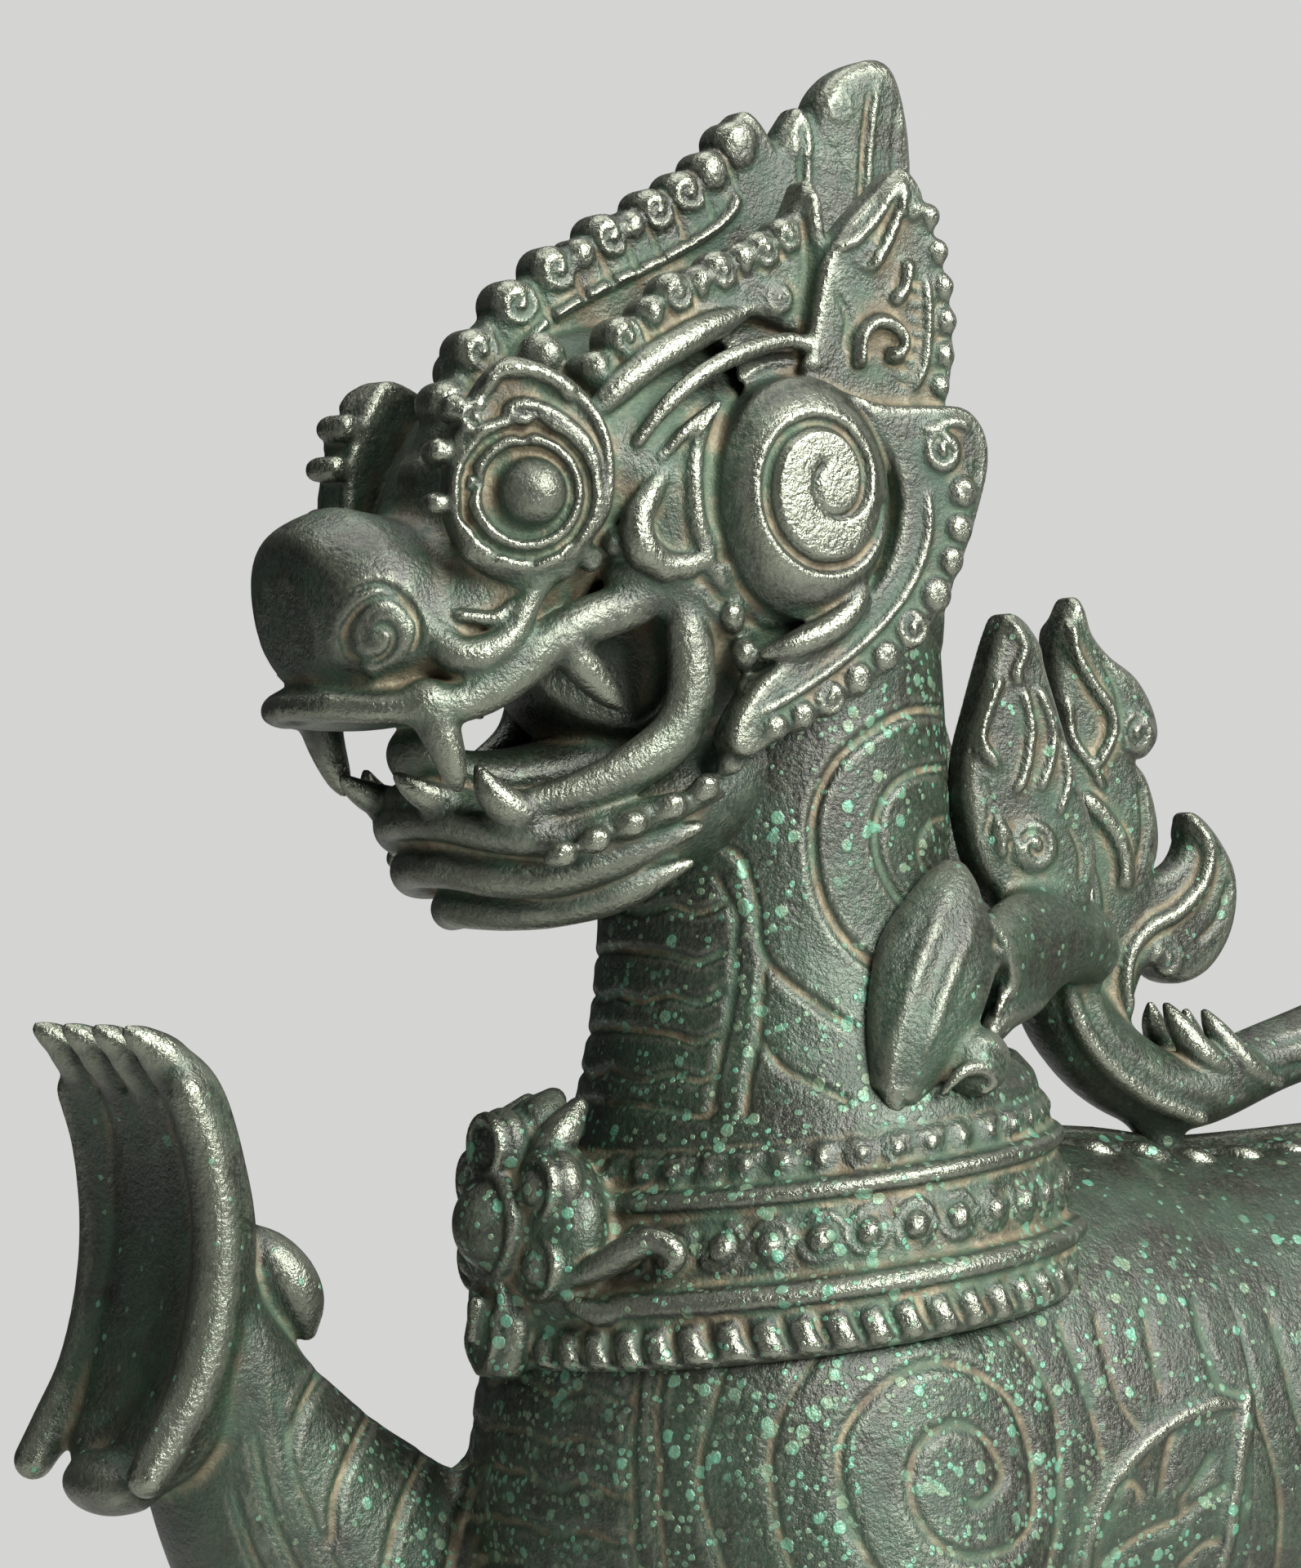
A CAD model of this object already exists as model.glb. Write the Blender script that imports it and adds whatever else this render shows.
import math

import bpy
import numpy as np
import openvdb as vdb
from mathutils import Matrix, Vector


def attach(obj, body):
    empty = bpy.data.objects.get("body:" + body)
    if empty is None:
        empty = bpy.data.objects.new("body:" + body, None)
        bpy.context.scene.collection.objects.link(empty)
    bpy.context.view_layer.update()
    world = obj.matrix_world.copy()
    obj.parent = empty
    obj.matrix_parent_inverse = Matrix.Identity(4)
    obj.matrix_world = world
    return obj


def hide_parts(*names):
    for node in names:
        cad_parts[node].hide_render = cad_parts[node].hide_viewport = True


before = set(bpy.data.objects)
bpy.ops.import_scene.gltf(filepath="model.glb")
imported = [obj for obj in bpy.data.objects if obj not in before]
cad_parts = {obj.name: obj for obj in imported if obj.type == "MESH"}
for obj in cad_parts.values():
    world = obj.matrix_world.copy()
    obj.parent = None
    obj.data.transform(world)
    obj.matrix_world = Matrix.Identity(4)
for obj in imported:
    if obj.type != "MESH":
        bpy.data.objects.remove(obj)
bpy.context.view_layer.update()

bl_info = {
    "name": "Temple lion",
    "version": (1, 0, 0),
    "blender": (4, 5, 0),
    "location": "View3D > Sidebar > Temple lion",
    "description": "A cast bronze temple lion on its plinth, modelled in wax cell by cell and then patinated",
    "category": "Add Mesh",
}

ACROSS = (1, 0, 0)
LEFT, RIGHT = 1, -1
AIR = 10.0
GROUND = 35.3
SEAM = 42
BACK_SPOTS = 0.45
FLOOR = 1.9


# ---------------------------------------------------------------- the modelling wax


def curve_through(points, per=6):
    """Points along a smooth curve through `points`, `per` to each stretch."""
    p = np.asarray(points, float)
    ends = np.vstack([2 * p[0] - p[1], p, 2 * p[-1] - p[-2]])
    t = np.linspace(0, len(p) - 1, (len(p) - 1) * per + 1)
    i = np.minimum(t.astype(int), len(p) - 2)
    f = (t - i)[:, None]
    a, b, c, d = ends[i], ends[i + 1], ends[i + 2], ends[i + 3]
    return 0.5 * (2 * b + (c - a) * f + (2 * a - 5 * b + 4 * c - d) * f**2 + (3 * b - a - 3 * c + d) * f**3)


def even_steps(points, count):
    """`count` points spread evenly along a smooth curve through `points`, with their directions."""
    p = curve_through(points, 12)
    run = np.concatenate([[0], np.cumsum(np.linalg.norm(np.diff(p, axis=0), axis=1))])
    share = (np.arange(count) + 0.5) / count * run[-1]
    at = np.stack([np.interp(share, run, p[:, k]) for k in range(p.shape[1])], 1)
    ahead = np.stack([np.interp(share + 0.5, run, p[:, k]) for k in range(p.shape[1])], 1) - at
    return at, ahead / np.linalg.norm(ahead, axis=1)[:, None]


def ease(t):
    t = np.clip(t, 0, 1)
    return t * t * (3 - 2 * t)


def mirrored(s, points):
    """Points for the other side when s is RIGHT."""
    return [(s * p[0], *p[1:]) for p in points]


class Sketch:
    """A drawing in millimetres: an outline, and heights to raise or sink on a face."""

    def __init__(self, low, high, step=0.4):
        self.step = step
        self.u = np.arange(low[0], high[0] + step, step)
        self.v = np.arange(low[1], high[1] + step, step)
        self.form = np.zeros((self.u.size, self.v.size))
        self.raised = np.zeros_like(self.form)
        self.sunk = np.zeros_like(self.form)
        self.edge = None

    def window(self, low, high):
        return slice(*np.searchsorted(self.u, [low[0], high[0]])), slice(*np.searchsorted(self.v, [low[1], high[1]]))

    def along(self, points, reach, per):
        """Distance from a line and the share of its length, in the window around it."""
        p = curve_through(points, per) if per else np.asarray(points, float)
        w = self.window(p.min(0) - reach, p.max(0) + reach)
        uu, vv = self.u[w[0]][:, None], self.v[w[1]][None, :]
        best, share = np.full((uu.size, vv.size), 1e3), np.zeros((uu.size, vv.size))
        steps = np.linalg.norm(np.diff(p, axis=0), axis=1)
        run = 0
        for a, b, length in zip(p[:-1], p[1:], steps):
            t = np.clip(((uu - a[0]) * (b - a)[0] + (vv - a[1]) * (b - a)[1]) / max(length**2, 1e-9), 0, 1)
            far = np.hypot(uu - a[0] - t * (b - a)[0], vv - a[1] - t * (b - a)[1])
            share = np.where(far < best, (run + t * length) / max(steps.sum(), 1e-9), share)
            best = np.minimum(best, far)
            run += length
        return w, best, share

    def groove(self, points, width=2.4, depth=1.0, taper=0.1, per=6, lip=0.18):
        """A cut with a rounded floor and a faint raised lip, fading at both ends."""
        w, far, share = self.along(points, width * 1.4, per)
        fade = np.clip(np.minimum(share, 1 - share) / taper, 0, 1) ** 0.6 if taper else 1.0
        q = far / (width / 2 * (0.6 + 0.4 * fade))
        self.sunk[w] = np.minimum(self.sunk[w], -depth * fade * np.clip(1 - q * q, 0, 1) ** 1.2)
        self.raised[w] = np.maximum(self.raised[w], lip * depth * fade * np.exp(-(((q - 1.4) / 0.4) ** 2)))

    def ridge(self, points, width=3.0, height=1.0, taper=0.12, per=6):
        """A rounded bar, fading at both ends."""
        w, far, share = self.along(points, width, per)
        fade = np.clip(np.minimum(share, 1 - share) / taper, 0, 1) ** 0.5 if taper else 1.0
        q = far / (width / 2 * (0.5 + 0.5 * fade))
        self.raised[w] = np.maximum(self.raised[w], height * fade * np.sqrt(np.clip(1 - q * q, 0, 1)))

    def dome(self, centre, radius, height, stretch=1.0):
        w = self.window(np.subtract(centre, radius * max(1, stretch)), np.add(centre, radius * max(1, stretch)))
        q = np.hypot(self.u[w[0]][:, None] - centre[0], (self.v[w[1]][None, :] - centre[1]) / stretch) / radius
        self.form[w] = np.maximum(self.form[w], height * np.sqrt(np.clip(1 - q * q, 0, 1)))

    def spiral(self, centre, radius, turns=1.4, start=0.0, way=1, stretch=1.0, inner=0.12, raise_it=False, **look):
        k = np.linspace(0, 1, max(int(turns * 20), 8))
        turn, reach = start + way * 2 * math.pi * turns * k, radius * (inner + (1 - inner) * k)
        points = np.stack([centre[0] + reach * np.cos(turn), centre[1] + stretch * reach * np.sin(turn)], 1)
        (self.ridge if raise_it else self.groove)(points, per=0, **look)

    def scroll(self, centre, radius, start, way, height=1.3):
        """A curled lobe: a small dome with a spiral cut into it."""
        self.dome(centre, radius, height)
        self.spiral(centre, radius * 0.62, 1.15, start, way, width=radius * 0.36, depth=height * 0.75, lip=0, taper=0.06)

    def outline(self, points, per=4):
        """Cuts the drawing to a closed outline; a distance below zero is inside it."""
        p = curve_through([*points, points[0]], per)
        uu, vv = self.u[:, None], self.v[None, :]
        far, inside = np.full(self.form.shape, 1e3), np.zeros(self.form.shape, bool)
        for a, b in zip(p[:-1], p[1:]):
            ab = b - a
            t = np.clip(((uu - a[0]) * ab[0] + (vv - a[1]) * ab[1]) / max(ab @ ab, 1e-9), 0, 1)
            far = np.minimum(far, np.hypot(uu - a[0] - t * ab[0], vv - a[1] - t * ab[1]))
            crosses = (a[1] > vv) != (b[1] > vv)
            inside ^= crosses & (uu < a[0] + (vv - a[1]) * ab[0] / (ab[1] if ab[1] else 1e-9))
        far = np.where(inside, -far, far)
        self.edge = far if self.edge is None else np.minimum(self.edge, far)

    def lobe(self, centre, radius):
        self.edge = np.minimum(self.edge, np.hypot(self.u[:, None] - centre[0], self.v[None, :] - centre[1]) - radius)

    def rim(self, inset, width, height):
        """A raised edge that follows the outline at `inset` from it."""
        q = (self.edge + inset) / (width / 2)
        self.raised = np.maximum(self.raised, height * np.sqrt(np.clip(1 - q * q, 0, 1)))

    def height(self):
        return self.form + self.raised * np.clip(1 + self.sunk / 0.6, 0, 1) + self.sunk

    def read(self, values, u, v, outside=0.0):
        """Values of the drawing at (u, v)."""
        a, b = (u - self.u[0]) / self.step, (v - self.v[0]) / self.step
        i, j = np.clip(a.astype(int), 0, self.u.size - 2), np.clip(b.astype(int), 0, self.v.size - 2)
        f, g = np.clip(a - i, 0, 1), np.clip(b - j, 0, 1)
        mixed = (values[i, j] * (1 - f) + values[i + 1, j] * f) * (1 - g)
        mixed = mixed + (values[i, j + 1] * (1 - f) + values[i + 1, j + 1] * f) * g
        off = (a < 0) | (b < 0) | (a > self.u.size - 1) | (b > self.v.size - 1)
        return np.where(off, outside, mixed)


class Wax:
    """A block of cells, each holding its distance to the surface in millimetres, below zero inside the wax."""

    def __init__(self, low, high, cell):
        self.cell = cell
        self.first = np.floor(np.array(low) / cell).astype(int)
        self.size = np.ceil(np.array(high) / cell).astype(int) - self.first + 1
        self.d = np.full(self.size, AIR, np.float32)
        self.transform = vdb.createLinearTransform(voxelSize=cell)

    def places(self, axis):
        shape = [1, 1, 1]
        shape[axis] = -1
        return ((self.first[axis] + np.arange(self.d.shape[axis])) * self.cell).astype(np.float32).reshape(shape)

    def near(self, low, high):
        """The cells of a box, and their places along x, y and z."""
        a = np.clip(np.floor(np.asarray(low) / self.cell).astype(int) - self.first, 0, self.d.shape)
        b = np.clip(np.ceil(np.asarray(high) / self.cell).astype(int) - self.first + 1, a, self.d.shape)
        cells = tuple(slice(int(i), int(j)) for i, j in zip(a, b))
        x, y, z = (self.places(k) for k in range(3))
        return cells, x[cells[0]], y[:, cells[1]], z[:, :, cells[2]]

    def press(self, cells, far, blend=0.0, cut=False):
        """Joins a form to the wax, or cuts it away, with a fillet of `blend`."""
        old = self.d[cells]
        if old.size:
            far = -far if cut else far
            h = np.maximum(blend - np.abs(old - far), 0) ** 2 / (4 * blend) if blend else 0
            self.d[cells] = np.maximum(old, far) + h if cut else np.minimum(old, far) - h

    def skin_of(self, points, tris, quads):
        reach = AIR
        grid = vdb.FloatGrid.createLevelSetFromPolygons(
            points.astype(np.float32),
            triangles=tris.astype(np.uint32),
            quads=quads.astype(np.uint32),
            transform=self.transform,
            halfWidth=reach / self.cell,
        )
        cells, *_ = self.near(points.min(0) - reach, points.max(0) + reach)
        far = np.full(self.d[cells].shape, AIR, np.float32)
        if far.size:
            grid.copyToArray(far, ijk=tuple(int(self.first[k] + cells[k].start) for k in range(3)))
        return cells, far

    def loft(self, stations, side=ACROSS, blend=0.0, cut=False, sides=48, per=8):
        """A rounded form through oval stations (x, y, z, half width, half height)."""
        s = curve_through(stations, per)
        path, half = s[:, :3], np.maximum(s[:, 3:], 0.3)
        along = np.gradient(path, axis=0)
        along /= np.linalg.norm(along, axis=1)[:, None]
        wide = np.asarray(side, float) - along * (along @ np.asarray(side, float))[:, None]
        wide /= np.linalg.norm(wide, axis=1)[:, None]
        tall = np.cross(along, wide)
        turn = np.linspace(0, 2 * math.pi, sides, endpoint=False)
        rings = path[:, None] + wide[:, None] * (half[:, :1] * np.cos(turn))[..., None]
        rings = rings + tall[:, None] * (half[:, 1:] * np.sin(turn))[..., None]
        n, k = len(s), np.arange(sides)
        points = np.vstack([rings.reshape(-1, 3), path[0], path[-1]])
        after, rows = (k + 1) % sides, np.arange(n - 1)[:, None] * sides
        quads = np.stack([rows + k, rows + after, rows + sides + after, rows + sides + k], -1).reshape(-1, 4)
        end = (n - 1) * sides
        caps = [np.stack([np.full(sides, n * sides), after, k], 1)]
        caps += [np.stack([np.full(sides, n * sides + 1), end + k, end + after], 1)]
        self.press(*self.skin_of(points, np.vstack(caps), quads), blend, cut)

    def ball(self, centre, half, blend=0.0, cut=False):
        half = np.broadcast_to(np.asarray(half, float), (3,))
        cells, x, y, z = self.near(np.subtract(centre, half + AIR), np.add(centre, half + AIR))
        q = [(x - centre[0]) / half[0], (y - centre[1]) / half[1], (z - centre[2]) / half[2]]
        outer = np.sqrt(q[0] ** 2 + q[1] ** 2 + q[2] ** 2)
        steep = np.sqrt((q[0] / half[0]) ** 2 + (q[1] / half[1]) ** 2 + (q[2] / half[2]) ** 2)
        self.press(cells, outer * (outer - 1) / np.maximum(steep, 1e-6), blend, cut)

    def rod(self, points, radii, blend=1.0, flat=None, cut=False, per=6):
        """A strip of wax along a curve; flat=(direction, share) presses it thinner that way."""
        p = np.asarray(points, float)
        r = np.broadcast_to(np.asarray(radii, float), (len(p),))
        both = curve_through(np.column_stack([p, r]), per)
        p, r = both[:, :3], np.maximum(both[:, 3], 0.25)
        reach = r.max() + max(blend, 2 * self.cell) + self.cell
        cells, x, y, z = self.near(p.min(0) - reach, p.max(0) + reach)
        far = np.full((x.size, y.size, z.size), AIR, np.float32)
        if not far.size:
            return
        for a, b, ra, rb in zip(p[:-1], p[1:], r[:-1], r[1:]):
            low, high = np.minimum(a, b) - reach, np.maximum(a, b) + reach
            part = [slice(*np.searchsorted(t.ravel(), [lo, hi])) for t, lo, hi in zip((x, y, z), low, high)]
            part = tuple(part)
            px, py, pz = x[part[0]] - a[0], y[:, part[1]] - a[1], z[:, :, part[2]] - a[2]
            ab = b - a
            if flat is not None:
                n = np.asarray(flat[0], float) / np.linalg.norm(flat[0])
                more = (px * n[0] + py * n[1] + pz * n[2]) * (1 / flat[1] - 1)
                px, py, pz = px + more * n[0], py + more * n[1], pz + more * n[2]
                ab = ab + n * (ab @ n) * (1 / flat[1] - 1)
            t = np.clip((px * ab[0] + py * ab[1] + pz * ab[2]) / max(ab @ ab, 1e-9), 0, 1)
            out = np.sqrt((px - t * ab[0]) ** 2 + (py - t * ab[1]) ** 2 + (pz - t * ab[2]) ** 2) - (ra + t * (rb - ra))
            far[part] = np.minimum(far[part], out)
        self.press(cells, far, blend, cut)

    def plate(self, sketch, x, thick, edge=1.6, pivot=0.0, turn=0.0, swell=0.0, blend=1.0):
        """The drawing as a plate standing lengthwise at x; its outer face carries the drawing's heights."""
        inside = np.nonzero(sketch.edge < 0)
        u = sketch.u[inside[0]]
        v = sketch.v[inside[1]]
        grow = thick / 2 + swell + 8
        more = abs(math.sin(turn)) * np.abs(u - pivot).max()
        low, high = (x - grow - more, u.min() - 8, v.min() - 8), (x + grow + more, u.max() + 8, v.max() + 8)
        cells, px, py, pz = self.near(low, high)
        c, s = math.cos(turn), math.sin(turn)
        out = (px - x) * c + (py - pivot) * s + 0 * pz
        along = pivot - (px - x) * s + (py - pivot) * c + 0 * pz
        up = np.broadcast_to(pz, out.shape)
        rim = sketch.read(sketch.edge, along, up, outside=AIR)
        front = thick / 2 + sketch.read(sketch.height(), along, up) + swell * (1 - np.exp(np.minimum(rim, 0) / 6))
        face = np.where(out > 0, out - front, -out - thick / 2)
        a, b = rim + edge, face + edge
        far = np.hypot(np.maximum(a, 0), np.maximum(b, 0)) + np.minimum(np.maximum(a, b), 0) - edge
        self.press(cells, far.astype(np.float32), blend)

    def emboss(self, sketch, lay, facing, box=None, hold=(0.15, 0.5)):
        """Presses a drawing into the skin: lay(p) gives its (u, v), facing(p, n) how squarely it lies there."""
        cells, x, y, z = self.near(*(box or ((-1e3,) * 3, (1e3,) * 3)))
        i, j, k = np.nonzero(np.abs(self.d[cells]) < 3.5)
        inner = [np.clip(a + c.start, 1, n - 2) for a, c, n in zip((i, j, k), cells, self.d.shape)]
        i, j, k = inner
        p = np.stack([self.places(0).ravel()[i], self.places(1).ravel()[j], self.places(2).ravel()[k]], 1)
        d = self.d
        n = np.stack([d[i + 1, j, k] - d[i - 1, j, k], d[i, j + 1, k] - d[i, j - 1, k], d[i, j, k + 1] - d[i, j, k - 1]], 1)
        n /= np.maximum(np.linalg.norm(n, axis=1), 1e-6)[:, None]
        u, v = lay(p)
        grip = ease((facing(p, n) - hold[0]) / (hold[1] - hold[0]))
        d[i, j, k] -= (sketch.read(sketch.height(), u, v) * grip).astype(np.float32)

    def soften(self, times=1):
        """Rubs the wax smooth over about a cell each time."""
        self.d = blurred(self.d, 1, times)

    def sink(self, past):
        """Lets the skin dive under the neighbouring piece where `past` of y is above nought."""
        y = (self.first[1] + np.arange(self.d.shape[1])) * self.cell
        self.d += (0.9 * ease(past(y) / 3)).astype(np.float32)[None, :, None]

    def whole(self):
        """Adds the mirror image of a half modelled at x above zero."""
        middle = -int(self.first[0])
        self.d = np.concatenate([self.d[: middle : -1], self.d[middle:]])
        self.first[0] = -(self.d.shape[0] // 2)


def blurred(cells, reach, times=2):
    """A copy of the cells, each the mean of its neighbours within `reach` cells."""
    out = cells
    for _ in range(times):
        for axis in range(3):
            wide = [(0, 0)] * 3
            wide[axis] = (reach + 1, reach)
            total = np.cumsum(np.pad(out, wide, mode="edge"), axis=axis, dtype=np.float64 if reach < 3 else np.float32)
            ahead, behind = [slice(None)] * 3, [slice(None)] * 3
            ahead[axis], behind[axis] = slice(2 * reach + 1, None), slice(None, -2 * reach - 1)
            out = ((total[tuple(ahead)] - total[tuple(behind)]) / (2 * reach + 1)).astype(np.float32)
    return out


def cast(wax, name, limit, node="lion_figure", spots=0.5):
    """Casts the wax as one closed mesh of at most `limit` triangles, with the wear of its ridges and hollows."""
    d = np.clip(wax.d, -AIR, AIR)
    for side in (0, -1):
        for axis in range(3):
            face = [slice(None)] * 3
            face[axis] = side
            d[tuple(face)] = np.maximum(d[tuple(face)], 0.3)
    grid = vdb.FloatGrid(AIR)
    grid.transform = wax.transform
    grid.copyFromArray(d, ijk=tuple(int(k) for k in wax.first), tolerance=0.0)
    grid.gridClass = vdb.GridClass.LEVEL_SET
    points, quads = grid.convertToQuads(0.0)
    mesh = bpy.data.meshes.new(name)
    mesh.vertices.add(len(points))
    mesh.vertices.foreach_set("co", (points * 0.001).astype(np.float32).ravel())
    mesh.loops.add(quads.size)
    mesh.loops.foreach_set("vertex_index", quads[:, ::-1].astype(np.int32).ravel())
    mesh.polygons.add(len(quads))
    mesh.polygons.foreach_set("loop_start", np.arange(0, quads.size, 4, dtype=np.int32))
    mesh.update(calc_edges=True)
    piece = bpy.data.objects.new(name, mesh)
    bpy.context.collection.objects.link(piece)
    if 2 * len(quads) > limit:
        piece.modifiers.new("thin", "DECIMATE").ratio = limit / (2 * len(quads))
        thinned = bpy.data.meshes.new_from_object(piece.evaluated_get(bpy.context.evaluated_depsgraph_get()))
        piece.modifiers.clear()
        piece.data = thinned
        bpy.data.meshes.remove(mesh)
    mesh = piece.data
    mesh.name = name
    mesh.polygons.foreach_set("use_smooth", np.ones(len(mesh.polygons), bool))
    at = np.empty(len(mesh.vertices) * 3, np.float32)
    mesh.vertices.foreach_get("co", at)
    at = at.reshape(-1, 3) * 1000
    here = cells_at(wax, d, at)
    for label, reach, cap in (("ridge", 1.3, 3.0), ("hollow", 4.5, 8.0)):
        mean = blurred(np.clip(d, -cap, cap), max(1, round(reach / wax.cell / 1.6)), 2)
        mesh.attributes.new(label, "FLOAT", "POINT").data.foreach_set("value", cells_at(wax, mean, at) - here)
    density = spots(at) if callable(spots) else np.full(len(at), spots)
    mesh.attributes.new("spots", "FLOAT", "POINT").data.foreach_set("value", density.astype(np.float32))
    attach(piece, "root")
    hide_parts(node)
    return piece


def cells_at(wax, values, points):
    q = points / wax.cell - wax.first
    i = np.clip(np.floor(q).astype(int), 0, np.array(values.shape) - 2)
    f = np.clip(q - i, 0, 1)
    total = 0
    for a in (0, 1):
        for b in (0, 1):
            for c in (0, 1):
                share = (f[:, 0] if a else 1 - f[:, 0]) * (f[:, 1] if b else 1 - f[:, 1])
                share = share * (f[:, 2] if c else 1 - f[:, 2])
                total = total + share * values[i[:, 0] + a, i[:, 1] + b, i[:, 2] + c]
    return total.astype(np.float32)


# ---------------------------------------------------------------- the head


def side_lay(p):
    return p[:, 1], p[:, 2]


def side_facing(p, n):
    return n[:, 0]


def head_forms(wax):
    """Skull, nose and jaws, with the pocket of the open mouth."""
    skull = [
        (0, -156, 484, 22, 9), (0, -148, 489, 27, 14), (0, -134, 494, 29, 17), (0, -120, 506, 33, 22),
        (0, -106, 523, 37, 28), (0, -92, 524, 40, 38), (0, -74, 514, 41, 54), (0, -50, 521, 41, 56),
        (0, -30, 531, 35, 52), (0, -14, 536, 23, 38), (0, -6, 538, 8, 18),
    ]
    wax.loft(skull)
    nose = [
        (0, -164, 492, 13, 10), (0, -160.5, 493, 21, 17.5), (0, -155, 495, 26, 21), (0, -147, 497, 27, 21.5),
        (0, -138, 500, 23.5, 17), (0, -128, 503, 16, 10),
    ]
    wax.loft(nose, blend=3.5)
    lip = [(0, -161.5, 475.6, 16, 4.4), (0, -152, 476, 24.6, 5.4), (0, -142, 477, 28, 5.8), (0, -130, 481, 29, 6.8)]
    wax.loft(lip, blend=2.5)
    jaw = [
        (0, -137, 458.5, 7, 2.5), (0, -131, 455, 17, 6), (0, -122, 449, 23, 11), (0, -110, 446, 27.5, 13.5),
        (0, -96, 449, 31, 15), (0, -80, 456, 34, 18), (0, -62, 466, 31, 20),
    ]
    wax.loft(jaw, blend=4)
    # The side pocket of the mouth, deepest at the front, with the throat wall left between the two sides.
    gape = Sketch((-160, 445), (-70, 510))
    gape.outline([
        (-152, 470), (-139, 469.5), (-130, 474), (-122, 480), (-115, 485.5), (-107, 490), (-99, 494), (-92.5, 497),
        (-89, 493), (-87.5, 484), (-89.5, 475), (-98, 467.5), (-108, 462.5), (-118, 460), (-128, 459), (-142, 461), (-152, 465),
    ])
    cells, x, y, z = wax.near((-2, -160, 445), (60, -70, 510))
    shape = np.broadcast_shapes(x.shape, y.shape, z.shape)
    rim = gape.read(gape.edge, np.broadcast_to(y, shape), np.broadcast_to(z, shape), outside=AIR)
    wall = np.interp(y.ravel(), [-132, -120, -110, -98, -86], [0, 5, 11, 17, 22]).reshape(y.shape)
    inner = wall - x
    a, b = rim + 2.5, inner + 2.5
    far = np.hypot(np.maximum(a, 0), np.maximum(b, 0)) + np.minimum(np.maximum(a, b), 0) - 2.5
    wax.press(cells, far.astype(np.float32), blend=1.2, cut=True)
    wax.loft([(0, -92, 466, 16, 7), (0, -106, 462, 13, 6.5), (0, -120, 461, 11.5, 6), (0, -129, 463, 9, 5.5),
              (0, -134, 466, 7, 4.5)], blend=1.5)
    wax.ball((0, -133, 466), (8.5, 6, 6.5), blend=2)
    wax.rod([(0, -137, 464), (0, -128, 468.5), (0, -112, 469)], [0.7, 0.9, 0.5], cut=True, blend=1)


def head_mouth(wax):
    """Lips, cheek folds, fangs and the nested rolls of beard."""
    flat = ((1, 0, 0), 0.8)
    upper = [(24.5, -149, 474.5), (27.5, -142, 475), (29, -134, 477.5), (30, -127, 481.8), (31, -118.5, 488.4), (31.8, -109.5, 493.4),
             (33, -100, 497), (34.4, -91.5, 501.8), (35, -87, 507)]
    wax.rod(upper, [2.6, 3.8, 4.6, 5.0, 5.2, 5.2, 5.0, 4.2, 1.8], blend=2.2, flat=flat)
    lower = [(34.4, -93, 503.4), (35, -88.6, 496.4), (35.6, -86.8, 488.5), (35.6, -86.6, 479), (35, -90, 470.4), (33.6, -98.4, 463.6),
             (31, -108, 458.6), (28, -117, 455.8), (25, -125.5, 454)]
    wax.rod(lower, [2.4, 4.4, 5.2, 5.4, 5.4, 5.2, 4.8, 4.0, 2.8], blend=2.2, flat=flat)
    wax.rod([(22, -147, 497), (25.5, -142.5, 490), (28.5, -137.5, 485.6), (30.5, -131, 487), (31.5, -126.5, 491.5),
             (31.8, -122.5, 499), (32.5, -117, 504.5)], [2.2, 3.6, 4.3, 4.0, 3.0, 2.8, 1.6], blend=2.0)
    wax.rod([(29, -138, 494), (31, -131, 493.5), (31.8, -127, 497)], [1.2, 1.6, 0.9], blend=1.2)
    for at, r in (((32.5, -121.5, 501.5), 2.2), ((33.2, -116, 504.6), 2.5), ((34, -110, 506.5), 2.7), ((35, -104.5, 510), 2.9)):
        wax.ball(at, (2.4, r, r * 1.15), blend=0.8)
        wax.rod([(at[0] + 2.3, at[1] + r * 0.3, at[2] - r * 0.2), (at[0] + 2.3, at[1] - r * 0.4, at[2] + r * 0.3)], 0.6, cut=True, blend=0.4)
    # Wing of the nose and the lip band below it.
    wax.rod([(0, -165.2, 481.2), (12, -162.5, 480.6), (21, -156, 480.2), (26.5, -148, 480.6), (29.5, -139, 481)], 0.95, cut=True, blend=0.8)
    wax.rod([(0, -163.6, 475.4), (12, -160.8, 475), (20.5, -154.4, 474.4), (25.5, -147, 474.4)], [2.8, 2.8, 2.8, 2.4], blend=1.5)
    # Upper canines, the inner fang and the lower ones.
    wax.rod([(25.5, -144, 476), (27, -141, 468.5), (26.8, -138.4, 462), (26.2, -137, 458)], [5.0, 4.1, 2.9, 1.0], blend=2)
    wax.rod([(31, -114, 488), (31.5, -109.5, 483), (31.2, -104.8, 478.8), (31, -101.2, 475.8)], [4.4, 3.9, 3.0, 1.2], blend=1.4)
    wax.rod([(25.5, -119, 452), (26.5, -125, 454), (26.5, -129.8, 458), (25.6, -132.2, 462.8)], [4.6, 4.4, 3.2, 1.0], blend=1.6)
    wax.rod([(11, -129, 455), (12.5, -136, 456.5), (12.8, -141.5, 459), (12.4, -144.6, 461.4)], [3.8, 3.6, 2.4, 0.9], blend=1.4)
    for depth, (r, half) in enumerate((
        (3.9, [(37, -80, 457.5), (34, -98, 452.5), (29.5, -113, 448.3), (23.5, -125, 448.6), (12, -133, 451.3)]),
        (4.3, [(35, -84, 450.5), (31, -100, 445), (26, -113, 440.2), (19.5, -123, 439.8), (10, -129.5, 441.6)]),
        (4.6, [(31, -84, 443), (26, -98, 437.5), (20, -110, 434), (13, -117.5, 433.2), (6, -121, 433.4)]),
    )):
        mid = [(0, half[-1][1] - 2.2, half[-1][2] + 0.4)]
        wax.rod([*half, *mid, (-2, mid[0][1], mid[0][2])], [1.2, r, r, r, r, r, r], blend=2.0)


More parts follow.
